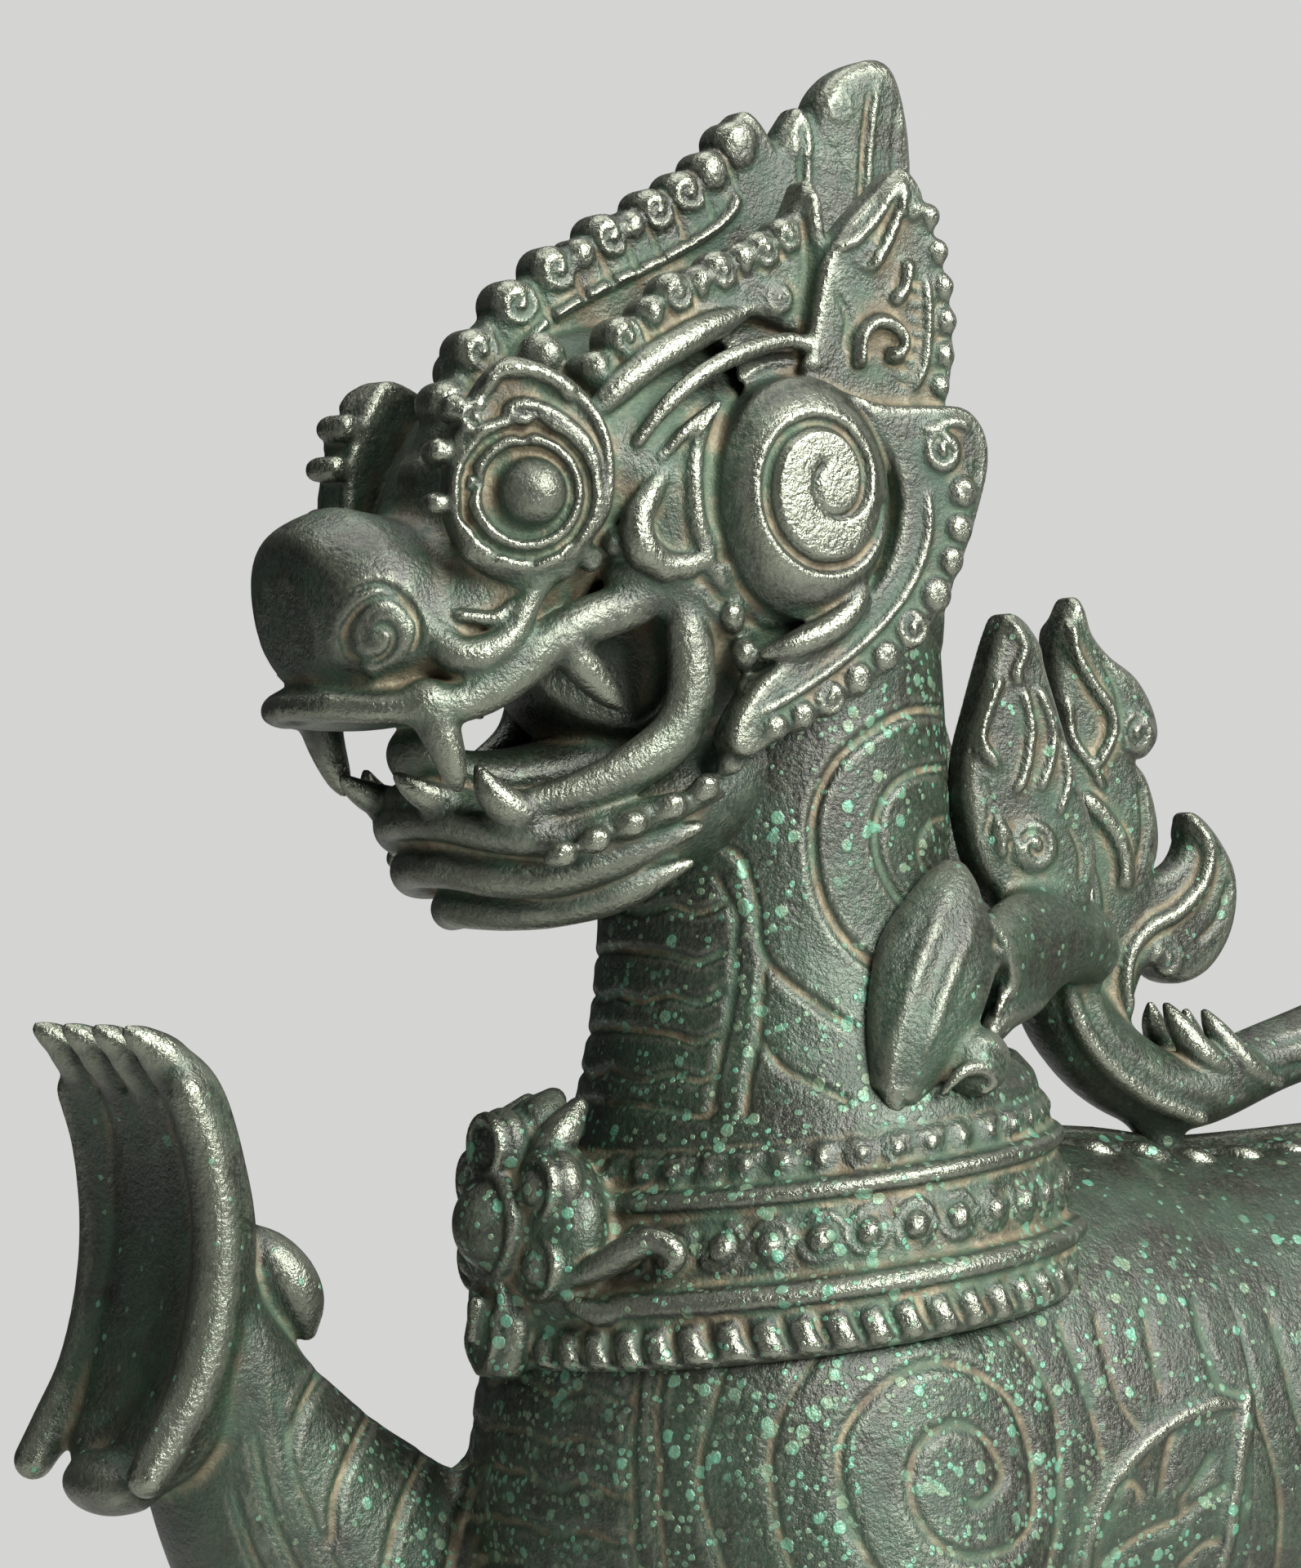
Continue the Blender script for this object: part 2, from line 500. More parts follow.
def head_eye(wax):
    """The staring eye: a polished ball in rings, on a flame edged shield turned a little inwards."""
    shield = Sketch((-152, 496), (-98, 556))
    shield.outline([
        (-141, 520), (-140, 530), (-136.5, 538), (-132, 545), (-127, 548), (-118, 545.5), (-112, 541.5), (-107, 534.5),
        (-105, 526), (-106, 516), (-111, 509), (-119, 503.5), (-129, 502.8), (-136, 506), (-140, 512.5),
    ])
    for centre, radius in (((-139, 537), 3.0), ((-142.4, 528), 2.8), ((-143, 517), 2.6)):
        shield.lobe(centre, radius)
    shield.rim(1.6, 3.4, 1.5)
    shield.spiral((-124.5, 519.5), 15.2, 1.0, 0.3, inner=1.0, stretch=1.0, raise_it=True, width=3.4, height=2.2, taper=0)
    shield.spiral((-124.5, 519.5), 11.2, 1.0, 0.3, inner=1.0, raise_it=True, width=3.2, height=2.8, taper=0)
    shield.spiral((-124.5, 519.5), 13.2, 1.0, 0.3, inner=1.0, width=1.3, depth=1.1, taper=0)
    shield.ridge([(-133.5, 540), (-130.5, 544.6), (-123, 545), (-116.5, 542), (-114.5, 538.5)], 4.4, 3.0, 0.1)
    shield.ridge([(-129.5, 533), (-127, 537.4), (-121, 537), (-114.5, 533), (-110.5, 528), (-109.3, 521)], 3.0, 2.2, 0.1)
    shield.ridge([(-111.5, 538), (-108, 533.5), (-106.6, 527), (-106.8, 521)], 2.4, 1.8, 0.15)
    shield.groove([(-127.8, 534.5), (-125.4, 531), (-122.5, 534), (-119, 531.5)], 1.3, 0.9, 0.2)
    shield.scroll((-135.4, 534.6), 3.6, 0.5, -1, 2.0)
    shield.groove([(-138.5, 526), (-135, 522), (-138, 515), (-134.5, 511.5)], 1.2, 0.8, 0.2)
    for y, z in ((-131, 507.3), (-123, 505.6), (-115, 508.2)):
        shield.groove([(y - 1, z - 2.4), (y + 1.4, z + 2)], 1.0, 0.6, 0.3)
    wax.plate(shield, 30.5, 8.5, edge=1.4, pivot=-123, turn=-0.3, swell=1.2, blend=1.2)
    wax.ball((33.6, -124.2, 519.6), (8.4, 8.0, 8.0), blend=0.4)
    # The shield's foot melts into the cheek.
    wax.rod([(30, -136, 507), (32, -124, 503), (35, -113, 508)], [2.2, 3.0, 2.2], blend=2.5)


def head_ear(wax):
    """The round ear: a domed disc cut by a spiral, inside rings, with crescents around it."""
    disc = Sketch((-94, 484), (-32, 556))
    y0, z0 = -62.5, 520.3
    disc.outline([(y0 + 21 * math.cos(t), z0 + 26 * math.sin(t)) for t in np.linspace(0, 2 * math.pi, 17)[:-1]])
    disc.dome((y0, z0), 19.5, 9.0, 24.2 / 19.5)
    disc.groove([
        (-60.6, 528.3), (-64, 525.4), (-64.6, 520.6), (-61.2, 516.4), (-55.8, 517), (-52.3, 521.8), (-52.5, 528.6),
        (-57, 534.2), (-64, 535.8), (-71, 532.6), (-75, 525.5), (-75, 516.6), (-70.8, 509.6), (-63.4, 505.6),
        (-54.2, 506.8), (-47.4, 512.8), (-44.6, 520.5),
    ], 3.5, 2.4, 0.02, lip=0.1)
    rings = ((19.9, 24.6, 1.9, 1.1), (22.0, 27.0, 1.7, 0.8))
    for a, b, width, height in rings:
        ring = [(y0 + a * math.cos(t), z0 + b * math.sin(t)) for t in np.linspace(0, 2 * math.pi, 41)]
        disc.ridge(ring, width, height, 0)
    wax.plate(disc, 38.5, 9, edge=1.2, blend=1.5)
    around = Sketch((-96, 470), (-24, 562))
    around.ridge([(-80.5, 541), (-87.5, 531), (-88.5, 518), (-85, 506), (-77, 497)], 4.4, 1.8, 0.2)
    around.ridge([(-76, 545), (-66, 549.8), (-55, 549), (-47, 543)], 2.6, 1.2, 0.2)
    around.ridge([(-86.5, 500), (-80, 493.5), (-71, 490.5)], 3.4, 1.3, 0.2)
    around.ridge([(-82, 504), (-77, 498.2), (-69, 493.6), (-61, 494.2)], 2.4, 1.2, 0.2)
    wax.emboss(around, side_lay, side_facing, ((20, -100, 465), (58, -20, 566)))
    wax.rod([(43, -49, 506), (45, -51.5, 499), (45.6, -57, 493.6), (44.6, -65.5, 489.4), (42.5, -72.5, 487)],
            [1.6, 2.6, 3.1, 3.0, 1.4], blend=0.9)


def head_brow(wax):
    """Bars and a row of scrolls over the brow, ending in an upright leaf tip."""
    row = Sketch((-118, 534), (-40, 600))
    row.outline([
        (-110, 543), (-106, 549.5), (-100, 556.5), (-91, 563.5), (-82, 568.5), (-72, 573), (-64, 577.5), (-59, 583),
        (-55.5, 590), (-52, 585), (-51.5, 574), (-48.5, 567), (-49, 558), (-58, 556), (-70, 560), (-83, 556), (-95, 549), (-103, 541),
    ])
    lobes = [
        ((-107.2, 546.4), 3.2, 0), ((-100.8, 553), 4.3, 1), ((-94, 558.8), 3.2, 0), ((-88.6, 563.2), 4.2, 1),
        ((-82.6, 566), 3.0, 0), ((-77.6, 568.6), 4.0, 1), ((-71.8, 571.6), 3.0, 0), ((-67, 573.6), 3.8, 1),
        ((-61.2, 577), 3.6, 1),
    ]
    for centre, radius, curled in lobes:
        row.lobe(centre, radius + 0.6)
        if curled:
            row.scroll(centre, radius, 0.6, 1, 2.2)
        else:
            row.dome(centre, radius * 0.72, 1.6, 1.5)
    for (a, b) in zip(lobes[:-1], lobes[1:]):
        y, z = (a[0][0] + b[0][0]) / 2, (a[0][1] + b[0][1]) / 2
        row.groove([(y - 1.6, z + 3.4), (y + 0.6, z - 0.4), (y + 2.6, z - 4)], 1.2, 1.1, 0.15)
    row.ridge([(-55.3, 588), (-54.4, 580), (-52.8, 571), (-51.2, 561)], 4.4, 2.2, 0.1)
    row.groove([(-57.6, 581), (-56.6, 572), (-56, 562)], 1.2, 1.0)
    row.scroll((-63.2, 563.4), 3.6, 2.2, -1, 1.6)
    wax.plate(row, 28.5, 9, edge=1.3, blend=1.0)
    wax.rod([(33.5, -111, 534.5), (34.5, -105, 541), (35, -97, 547.5), (34.6, -88.5, 552.6), (33.2, -79.5, 557), (32, -70.5, 560.6)],
            [1.6, 3.1, 3.6, 3.6, 3.2, 1.4], blend=1.0)
    wax.rod([(38.5, -101, 531), (39.5, -95, 538.5), (39.8, -87, 545.2), (38.8, -76.5, 550.6), (37.2, -65, 554),
             (36.4, -59, 553.6), (36.4, -57.2, 550.2), (37, -59.6, 548.2)], [1.2, 1.9, 2.1, 2.1, 1.9, 1.8, 1.6, 1.2], blend=0.9)
    wax.rod([(39, -96, 527.5), (40.2, -90, 534), (40.6, -83, 540)], [0.8, 1.5, 0.8], blend=0.9)
    # The soft trough between the middle fin and the row of scrolls.
    wax.rod([(17, -113, 549), (17, -100, 562), (17.5, -84, 571), (18, -66, 579)], [5, 7, 7.5, 6], cut=True, blend=4)
    wax.ball((19, -113.5, 549.5), (6, 5.2, 5.6), blend=1.5)


def head_crest(wax):
    """The middle fin of scrolls over the brow, with a small and a tall leaf standing behind it."""
    fin = Sketch((-142, 508), (-34, 618))
    fin.outline([
        (-136, 521), (-131.6, 534.5), (-125.4, 548), (-116.8, 560.2), (-106, 570), (-93.8, 578.6), (-82.6, 584.8), (-71.8, 591.2),
        (-64, 597.2), (-58.6, 603.6), (-54, 608.5), (-49, 605), (-45, 598), (-41, 589), (-48, 570), (-70, 560), (-95, 545), (-115, 520),
    ])
    lobes = [
        ((-132, 526), 4.0, 0), ((-127, 540.5), 5.0, 1), ((-120.8, 551.8), 5.2, 1), ((-111.6, 562.4), 5.6, 1), ((-102, 570.4), 5.4, 1),
        ((-95.6, 574.4), 3.4, 0), ((-89, 578.4), 5.2, 1), ((-83, 581.4), 3.2, 0), ((-77.4, 584.8), 5.0, 1), ((-69.6, 589.2), 5.0, 1),
        ((-63.2, 594.4), 4.6, 0), ((-56.4, 600.6), 5.4, 0),
    ]
    for centre, radius, curled in lobes:
        fin.lobe(centre, radius)
        if curled:
            fin.scroll(centre, radius - 0.4, 0.2, 1, 1.8)
        else:
            fin.dome(centre, radius * 0.8, 1.5, 1.3)
    for a, b in zip(lobes[1:-1], lobes[2:]):
        y, z = (a[0][0] + b[0][0]) / 2, (a[0][1] + b[0][1]) / 2
        fin.groove([(y - 2.4, z + 3.6), (y, z - 0.5), (y + 2.2, z - 5), (y + 3.4, z - 9)], 1.3, 1.1, 0.12)
    fin.ridge([(-121, 534), (-116, 546), (-108.5, 555.8), (-100, 562), (-89, 568), (-76, 574.2), (-65, 580.4), (-58.5, 586), (-56.5, 592)],
              2.8, 2.0, 0.06)
    fin.groove([(-118, 534), (-112.8, 545), (-105, 553.6), (-96, 559.6)], 1.6, 1.0)
    wax.plate(fin, 0, 9.5, edge=2.0, swell=0.8, blend=1.5)
    for outline, thick, vein, top in (
        ([(-50, 575), (-49, 592), (-46.5, 601), (-43, 607), (-39.5, 610.5), (-35.5, 605), (-32.5, 597), (-30, 575)], 9,
         [(-40, 607), (-40.6, 596), (-40, 584)], (-40.5, 601.5)),
        ([(-36, 575), (-38, 592), (-37.5, 604), (-35.5, 612.5), (-31, 618), (-25, 621.3), (-19.5, 622.4), (-15.3, 619.5),
          (-12.4, 611), (-11, 600), (-11.4, 588), (-13, 572)], 10.5,
         [(-22.8, 617), (-24.8, 604), (-25.6, 592), (-26.4, 583)], None),
    ):
        leaf = Sketch((-54, 566), (-6, 630))
        leaf.outline(outline)
        leaf.groove(vein, 2.0, 0.9, 0.15)
        leaf.ridge([(p[0] + 1.6, p[1]) for p in vein], 1.6, 0.8, 0.15)
        if top:
            leaf.scroll(top, 3.0, 0.4, 1, 0.8)
        else:
            leaf.scroll((-31.2, 611), 3.8, 0.6, 1, 0.7)
            leaf.groove([(-36.5, 604), (-32, 600), (-29, 592)], 1.3, 0.6)
            leaf.groove([(-15, 616), (-16.8, 604), (-16.6, 592)], 1.3, 0.6)
        wax.plate(leaf, 0, thick, edge=2.4, swell=1.4, blend=1.5)


def head_frill(wax):
    """The pointed ear leaf, the scrolled frill below it, and the curls that run behind the cheek."""
    leaf = Sketch((-66, 524), (-14, 602))
    leaf.outline([
        (-60, 545), (-57, 562), (-54.5, 572), (-48.5, 580.5), (-41.5, 587.5), (-35.5, 593), (-31, 590), (-27.8, 583),
        (-25, 575), (-22.6, 566), (-21.8, 556), (-23, 546), (-27, 536), (-36, 530),
    ])
    for centre, radius in (((-28.4, 583), 3.0), ((-26.2, 575.5), 3.0), ((-24.8, 568), 3.0), ((-24, 560.5), 3.0), ((-24.6, 553), 3.0), ((-26, 546), 3.0)):
        leaf.lobe(centre, radius)
        leaf.dome(centre, radius * 0.9, 1.6)
        leaf.groove([(centre[0] - 3, centre[1] + 3.2), (centre[0] + 3, centre[1] + 4.2)], 1.1, 1.0, 0.1)
    leaf.ridge([(-47, 549), (-46.6, 555.4), (-43, 559), (-38.6, 558.6), (-35.8, 555.6), (-37.2, 552.4), (-40.4, 552.6)], 3.6, 3.2, 0.04)
    leaf.ridge([(-34.2, 573), (-35.2, 567), (-38.6, 563.4)], 3.2, 2.2, 0.1)
    leaf.ridge([(-29.4, 570), (-29, 560), (-29.8, 551), (-33, 544.5)], 1.6, 1.4, 0.1)
    for k in range(8):
        z = 568 - 3.1 * k
        y = -31.4 if k < 5 else -33 - 1.1 * (k - 5)
        leaf.groove([(y - 2.6, z + 0.2), (y + 1.2, z - 0.4)], 1.1, 0.8, 0.1)
    leaf.ridge([(-52, 574.5), (-47, 577), (-41.5, 582.6), (-37, 590)], 2.2, 1.6, 0.1)
    leaf.ridge([(-44, 570), (-40.6, 575), (-37.4, 582), (-35.4, 590.5)], 3.0, 2.0, 0.1)
    leaf.scroll((-33.6, 584.6), 3.4, 1.2, -1, 1.6)
    leaf.scroll((-45, 573.4), 3.6, 2.4, -1, 1.2)
    leaf.groove([(-52.6, 565), (-49.6, 560), (-50.4, 553)], 1.4, 0.9)
    wax.plate(leaf, 34, 9.5, edge=1.6, blend=1.6)
    frill = Sketch((-104, 452), (-8, 552))
    frill.outline([
        (-52, 543), (-43, 541), (-31, 541.4), (-22.5, 541), (-17.8, 536), (-17, 529), (-19, 521), (-22.5, 511), (-27.5, 500.5),
        (-34.5, 491), (-45, 482.6), (-56, 476), (-68, 470), (-78, 465), (-82, 470), (-74, 482), (-58, 492), (-44, 505), (-40, 524),
    ])
    ropes = [
        ((-30, 531.4), 4.8, 1), ((-24.6, 522.8), 3.9, 0), ((-25.4, 515), 3.7, 0), ((-27.4, 508), 3.6, 0), ((-31.2, 500.6), 4.3, 0),
        ((-37.4, 493), 4.4, 1), ((-44.2, 487), 3.9, 0), ((-51, 482), 4.0, 0), ((-58, 477.6), 3.9, 1), ((-65, 474), 3.5, 0), ((-71.4, 471.4), 3.2, 0),
    ]
    for centre, radius, curled in ropes:
        frill.lobe(centre, radius)
        if curled:
            frill.scroll(centre, radius, 2.6, -1, 2.6)
        else:
            frill.dome(centre, radius * 0.95, 2.3)
            frill.groove([(centre[0] - 1.6, centre[1] + 0.8), (centre[0] + 1.4, centre[1] - 1.2)], 1.1, 0.9, 0.2)
    frill.ridge([(-33.6, 523), (-33.4, 514), (-37, 504), (-44.6, 494.4), (-55, 486), (-67, 478.6), (-76, 474)], 2.0, 1.5, 0.06)
    frill.ridge([(-22.4, 537), (-27, 537.8), (-35, 535.5)], 2.4, 1.4)
    frill.groove([(-20, 530), (-21.6, 524), (-23, 519)], 1.2, 0.8)
    wax.plate(frill, 40.5, 9, edge=1.5, swell=0.5, blend=1.8)
    row = [(-81.6, 503.6), (-78.6, 495), (-75.4, 487), (-74.2, 479), (-75.2, 471.4), (-78.6, 464.6), (-84.8, 458.8), (-92.6, 454.8),
           (-101.8, 451), (-110.4, 447.6), (-118, 444.6)]
    for k, (y, z) in enumerate(row):
        last, coming = row[max(k - 1, 0)], row[min(k + 1, len(row) - 1)]
        dy, dz = coming[0] - last[0], coming[1] - last[1]
        size = 2.0 / math.hypot(dy, dz)
        x = 38 - 0.5 * max(k - 5, 0)
        wax.rod([(x, y - dy * size, z - dz * size), (x + 1.2, y, z), (x, y + dy * size, z + dz * size)], [2.0, 2.9, 2.0], blend=0.8)
        wax.rod([(x + 3.6, y - dz * size * 0.6, z + dy * size * 0.6), (x + 3.9, y, z), (x + 3.6, y + dy * size * 0.9, z + dz * size * 0.9)],
                0.7, cut=True, blend=0.5)
    # The two-pronged flame at the corner of the mouth.
    wax.ball((32, -97.5, 504), (5.5, 8, 6), blend=3)
    wax.rod([(38, -95, 505), (38.5, -100, 508.4), (38.6, -101.4, 514), (38.4, -98.4, 520), (38, -93.6, 526)], [3.4, 4.0, 3.6, 2.8, 1.2], blend=1.2)
    wax.rod([(38, -95, 505), (38.6, -89, 505.6), (38.8, -85, 508.8), (38.6, -86.2, 513.6), (38, -89.6, 518)], [3.2, 3.0, 2.8, 2.4, 1.0], blend=1.0)
    wax.rod([(37, -94, 503), (37, -86, 500), (37, -83.6, 505)], [2.0, 2.2, 1.2], blend=1.0)


def model_head(cell):
    wax = Wax((-2, -178, 424), (58, -2, 628), cell)
    head_forms(wax)
    head_brow(wax)
    head_crest(wax)
    head_ear(wax)
    head_frill(wax)
    head_mouth(wax)
    head_eye(wax)
    nostrils = Sketch((-175, 470), (-135, 512))
    nostrils.groove([(-160.5, 498.5), (-155, 500), (-149.6, 497.4), (-146.8, 491.6), (-148, 485.4)], 1.7, 1.4, 0.08)
    nostrils.spiral((-154.6, 489.6), 7.4, 1.35, 2.5, -1, stretch=1.25, width=1.9, depth=1.3, taper=0.04)
    wax.emboss(nostrils, side_lay, lambda p, n: n[:, 0] - 0.1 * n[:, 1], ((5, -176, 468), (34, -132, 514)))
    wax.soften(1)
    wax.whole()
    return cast(wax, "head", 195000, spots=lambda p: 0.25 * ease((500 - p[:, 2]) / 40) + 0.2 * ease((p[:, 1] + 60) / 20))


# ---------------------------------------------------------------- neck and collar


def seen(points, x, plane):
    """Points traced on the near side at `x`, moved to the drawing's own plane along the line of sight."""
    return [(y + 0.577 * (x - plane), z) for y, z in points]


def sight_lay(plane):
    return lambda p: (p[:, 1] + 0.577 * (np.abs(p[:, 0]) - plane), p[:, 2])


def sight_facing(p, n):
    return 0.866 * n[:, 0] * np.sign(p[:, 0] + 1e-6) - 0.5 * n[:, 1]


def collar_place(x, y, z):
    """Round the collar in millimetres from the front, and down from its top."""
    turn = math.radians(97.5)
    up = z - 395
    ahead = y + 37 - 0.25 * up
    down = -(ahead * math.cos(turn) + up * math.sin(turn))
    out = -ahead * math.sin(turn) + up * math.cos(turn)
    return np.arctan2(np.abs(x), out) * 60, down, np.hypot(x, out)


def model_neck(cell):
    rng = np.random.default_rng(4)
    wax = Wax((-2, -128, 334), (74, 32, 524), cell)
    wax.loft([(0, -39, 380, 53, 52), (0, -40, 392, 50, 49), (0, -41.5, 404, 45.5, 45), (0, -44, 428, 39.5, 39.5),
              (0, -44, 465, 38, 38), (0, -44, 512, 35, 35)])
    skin = Sketch((-112, 384), (10, 500))
    for line, x, look in (
        ([(-20.6, 476.5), (-32.7, 476), (-42.2, 471.8), (-50.9, 465.7), (-55.7, 458.9), (-58, 450.9), (-57.2, 440.9),
          (-54.1, 432.3), (-48.6, 425.6), (-41.5, 420.9), (-34, 419)], 38, (3.4, 1.3)),
        ([(-20.2, 464.2), (-30.3, 463.2), (-37.5, 459.8), (-41.5, 453.7), (-42.3, 447), (-39.9, 440.3), (-35.1, 434.3), (-29, 431)],
         38, (2.8, 1.2)),
        ([(-22.2, 453.5), (-27.9, 451.8), (-30.9, 447.6), (-30.3, 443), (-26.3, 440.4), (-21, 440)], 38, (2.0, 1.0)),
        ([(-84, 456), (-80, 448.2), (-73.9, 443.6), (-70.8, 435), (-69.2, 424.4), (-64.6, 419), (-56.8, 413.7), (-51.3, 410.3),
          (-45.8, 407.5)], 36, (2.8, 1.2)),
        ([(-68.7, 423), (-69.6, 412.5), (-70.2, 405.8), (-72.4, 398), (-73.6, 388)], 36, (2.6, 1.1)),
        ([(-70, 405.6), (-65.2, 399.8), (-58.2, 396.4), (-48, 392)], 37, (2.5, 1.1)),
        ([(-77.6, 441), (-74.4, 436), (-72, 431.6), (-72.6, 426), (-72.2, 420.9), (-73.2, 414.4), (-74.4, 407.9), (-76.3, 401),
          (-77.6, 394), (-79, 387)], 30, (2.4, 1.1)),
    ):
        skin.groove(seen(line, x, 30), *look, taper=0.05)
    for k, z in enumerate((433.5, 423, 414.4, 406, 397.6, 390)):
        sag = 1.2 * (-1) ** k
        skin.groove([(-104, z + 1.5), (-96, z - sag), (-88, z + 0.5), (-81, z - 1.0), (-73.6 - 0.5 * k, z + 1.6)], 2.3, 1.25, 0.03)
    wax.emboss(skin, sight_lay(30), sight_facing, ((-2, -100, 380), (74, 20, 500)), (0.05, 0.3))
    # The nape: plain rounded folds that carry on round from the sides.
    nape = Sketch((-60, 384), (60, 500))
    for z in (404, 418, 432, 446, 460):
        nape.groove([(-40, z + 5), (-20, z), (0, z - 1), (20, z), (40, z + 5)], 2.2, 0.8)
    wax.emboss(nape, lambda p: (p[:, 0], p[:, 2]), lambda p, n: n[:, 1], ((-2, -30, 390), (40, 20, 480)), (0.5, 0.8))
    # The collar: a cone with two polished rolls between three bands.
    profile = [(0, 40), (-2, 46), (3, 50.5), (6.8, 52), (8, 52.8), (14.2, 54.4), (15.2, 57.2), (17.4, 58.6), (19.4, 58), (20.4, 57),
               (34.4, 60.6), (35.8, 64.2), (38.2, 65.8), (40.4, 65.2), (41.4, 64), (50.4, 66), (52, 64), (52.5, 40)]
    turn = math.radians(97.5)
    down, out = np.array(profile, float).T
    round_ = np.linspace(0, 2 * math.pi, 120, endpoint=False)
    x = out[:, None] * np.sin(round_)
    w = out[:, None] * np.cos(round_)
    y = -down[:, None] * math.cos(turn) - w * math.sin(turn)
    z = -down[:, None] * math.sin(turn) + w * math.cos(turn)
    points = np.stack([x, y + 0.25 * z - 37, z + 395], -1).reshape(-1, 3)
    n, k = len(profile), np.arange(120)
    after, rows = (k + 1) % 120, np.arange(n - 1)[:, None] * 120
    quads = np.stack([rows + k, rows + 120 + k, rows + 120 + after, rows + after], -1).reshape(-1, 4)
    points = np.vstack([points, points[:120].mean(0), points[-120:].mean(0)])
    end = (n - 1) * 120
    tris = np.vstack([np.stack([np.full(120, n * 120), k, after], 1), np.stack([np.full(120, n * 120 + 1), end + after, end + k], 1)])
    cells, far = wax.skin_of(points, tris, quads)
    wax.press(cells, far, blend=2.0)
    bands = Sketch((-6, -2), (196, 58))
    rows_of = ((11.0, 42, 3.1, 1.7), (27.4, 36, 4.5, 2.6))
    for v, count, radius, height in rows_of:
        for k in range(count // 2 + 1):
            u = (k + 0.5) * 2 * math.pi * 60 / count + rng.uniform(-0.3, 0.3)
            r = radius * rng.uniform(0.88, 1.06)
            bands.dome((u, v), r * 0.72, height * rng.uniform(0.8, 1.1))
            bands.spiral((u, v), r * 1.02, 0.92, rng.uniform(0, 6), inner=1.0, raise_it=True, width=1.5, height=height * 0.5, taper=0.1)
    for k in range(28):
        u = (k + 0.5) * 2 * math.pi * 60 / 54 + rng.uniform(-0.3, 0.3)
        bands.ridge([(u - 2.2, 42.4), (u - 0.6, 46), (u + 2.4, 50.8)], 4.8, 1.9 * rng.uniform(0.85, 1.1), 0.3)
        bands.groove([(u + 1.4, 42), (u + 2.4, 46), (u + 5.4, 51)], 1.5, 1.1, 0.15, lip=0)
    for v in (7.4, 14.9, 20.2, 34.9, 41.0):
        bands.groove([(-6, v), (60, v), (130, v), (196, v)], 1.3, 0.7, 0, lip=0)

    def round_lay(p):
        u, v, _ = collar_place(p[:, 0], p[:, 1], p[:, 2])
        return u, v

    def round_facing(p, n):
        _, v, r = collar_place(p[:, 0], p[:, 1], p[:, 2])
        return np.where((r > 50) & (v > 0), 1.0, 0.0)

    wax.emboss(bands, round_lay, round_facing, None, (0.2, 0.6))
    model_rosette(wax)
    wax.soften(1)
    wax.whole()
    return cast(wax, "neck_and_collar", 180000, spots=lambda p: 0.75 + 0 * p[:, 0])


def model_rosette(wax):
    """The boss on the breast: a polished centre, ringed petals round it and a drop below."""
    wax.ball((0, -104, 364), (24, 12, 22), blend=4)
    centre = np.array((0, -112, 366))
    for k in range(6):
        t = math.radians(60 * k)
        x, z = 16.5 * math.sin(t), 16.5 * math.cos(t)
        if x < -1:
            continue
        y = -112 + 0.34 * x - 0.02 * z
        leaf = k in (0, 3)
        wax.ball((x, y, 366 + z), (8.4, 5.2, 8.4), blend=0.6)
        ring = [(x + 6.4 * math.sin(a), y - 4.2, 366 + z + 6.4 * math.cos(a)) for a in np.linspace(0, 2 * math.pi, 13)]
        wax.rod(ring, 1.35, blend=0.7, per=2)
        if not leaf:
            wax.ball((x, y - 4.6, 366 + z), (4.2, 3.4, 4.4), blend=0.3)
    wax.rod([(0, -100, 392), (2, -105, 386), (0, -110, 380)], [3, 5.6, 3], blend=1.2)
    wax.rod([(11, -100, 391), (12, -106, 384), (10, -110, 377)], [2.4, 4.6, 2.6], blend=1.0)
    ring = [(10.6 * math.sin(a), -115.4, 366 + 10.6 * math.cos(a)) for a in np.linspace(0, 2 * math.pi, 17)]
    wax.rod(ring, 1.9, blend=0.8, per=2)
    wax.ball(centre - (0, 3.6, 0), (9.2, 7.6, 9.6), blend=0.3)
    drop = [(0, -109, 352), (0, -112, 345), (0, -113, 338), (0, -111.5, 331.5)]
    wax.rod(drop, [5.5, 9.5, 8.2, 2.5], blend=1.2, flat=((0, 1, 0), 0.62))
    wax.rod([(5.4, -116.6, 347), (5.6, -117.6, 340), (0, -117, 334), (-5.6, -117.6, 340), (-5.4, -116.6, 347)], 1.1, blend=0.6)
    wax.rod([(0, -118.5, 349), (0, -119.5, 342)], [2.2, 1.4], blend=0.5)
    curl = [(22, -106, 356), (27, -103, 358.5), (32, -99.5, 362), (36, -95.5, 364), (39.5, -92.5, 361), (37.5, -93.5, 357)]
    wax.rod(curl, [2.2, 3.2, 3.3, 3.0, 2.6, 1.6], blend=1.0)
    wax.rod([(20, -106, 350), (26, -102, 348), (33, -97.5, 351)], [2.0, 2.8, 1.2], blend=1.0)


# ---------------------------------------------------------------- trunk and legs


def trunk(wax):
    chest = [
        (0, -40, 354, 54, 54), (0, -42, 338, 63, 63), (0, -44, 318, 67, 67), (0, -44, 290, 67, 67), (0, -42, 258, 63, 62),
        (0, -38, 228, 50, 48), (0, -34, 212, 26, 26),
    ]
    barrel = [
        (0, -54, 316, 40, 46), (0, -26, 312, 60, 70), (0, 20, 309, 61, 72), (0, 60, 308, 58, 69), (0, 105, 309, 57, 71),
        (0, 150, 311, 59, 74), (0, 184, 308, 46, 62), (0, 202, 304, 18, 28),
    ]
    wax.loft(chest)
    wax.loft(barrel, blend=9)


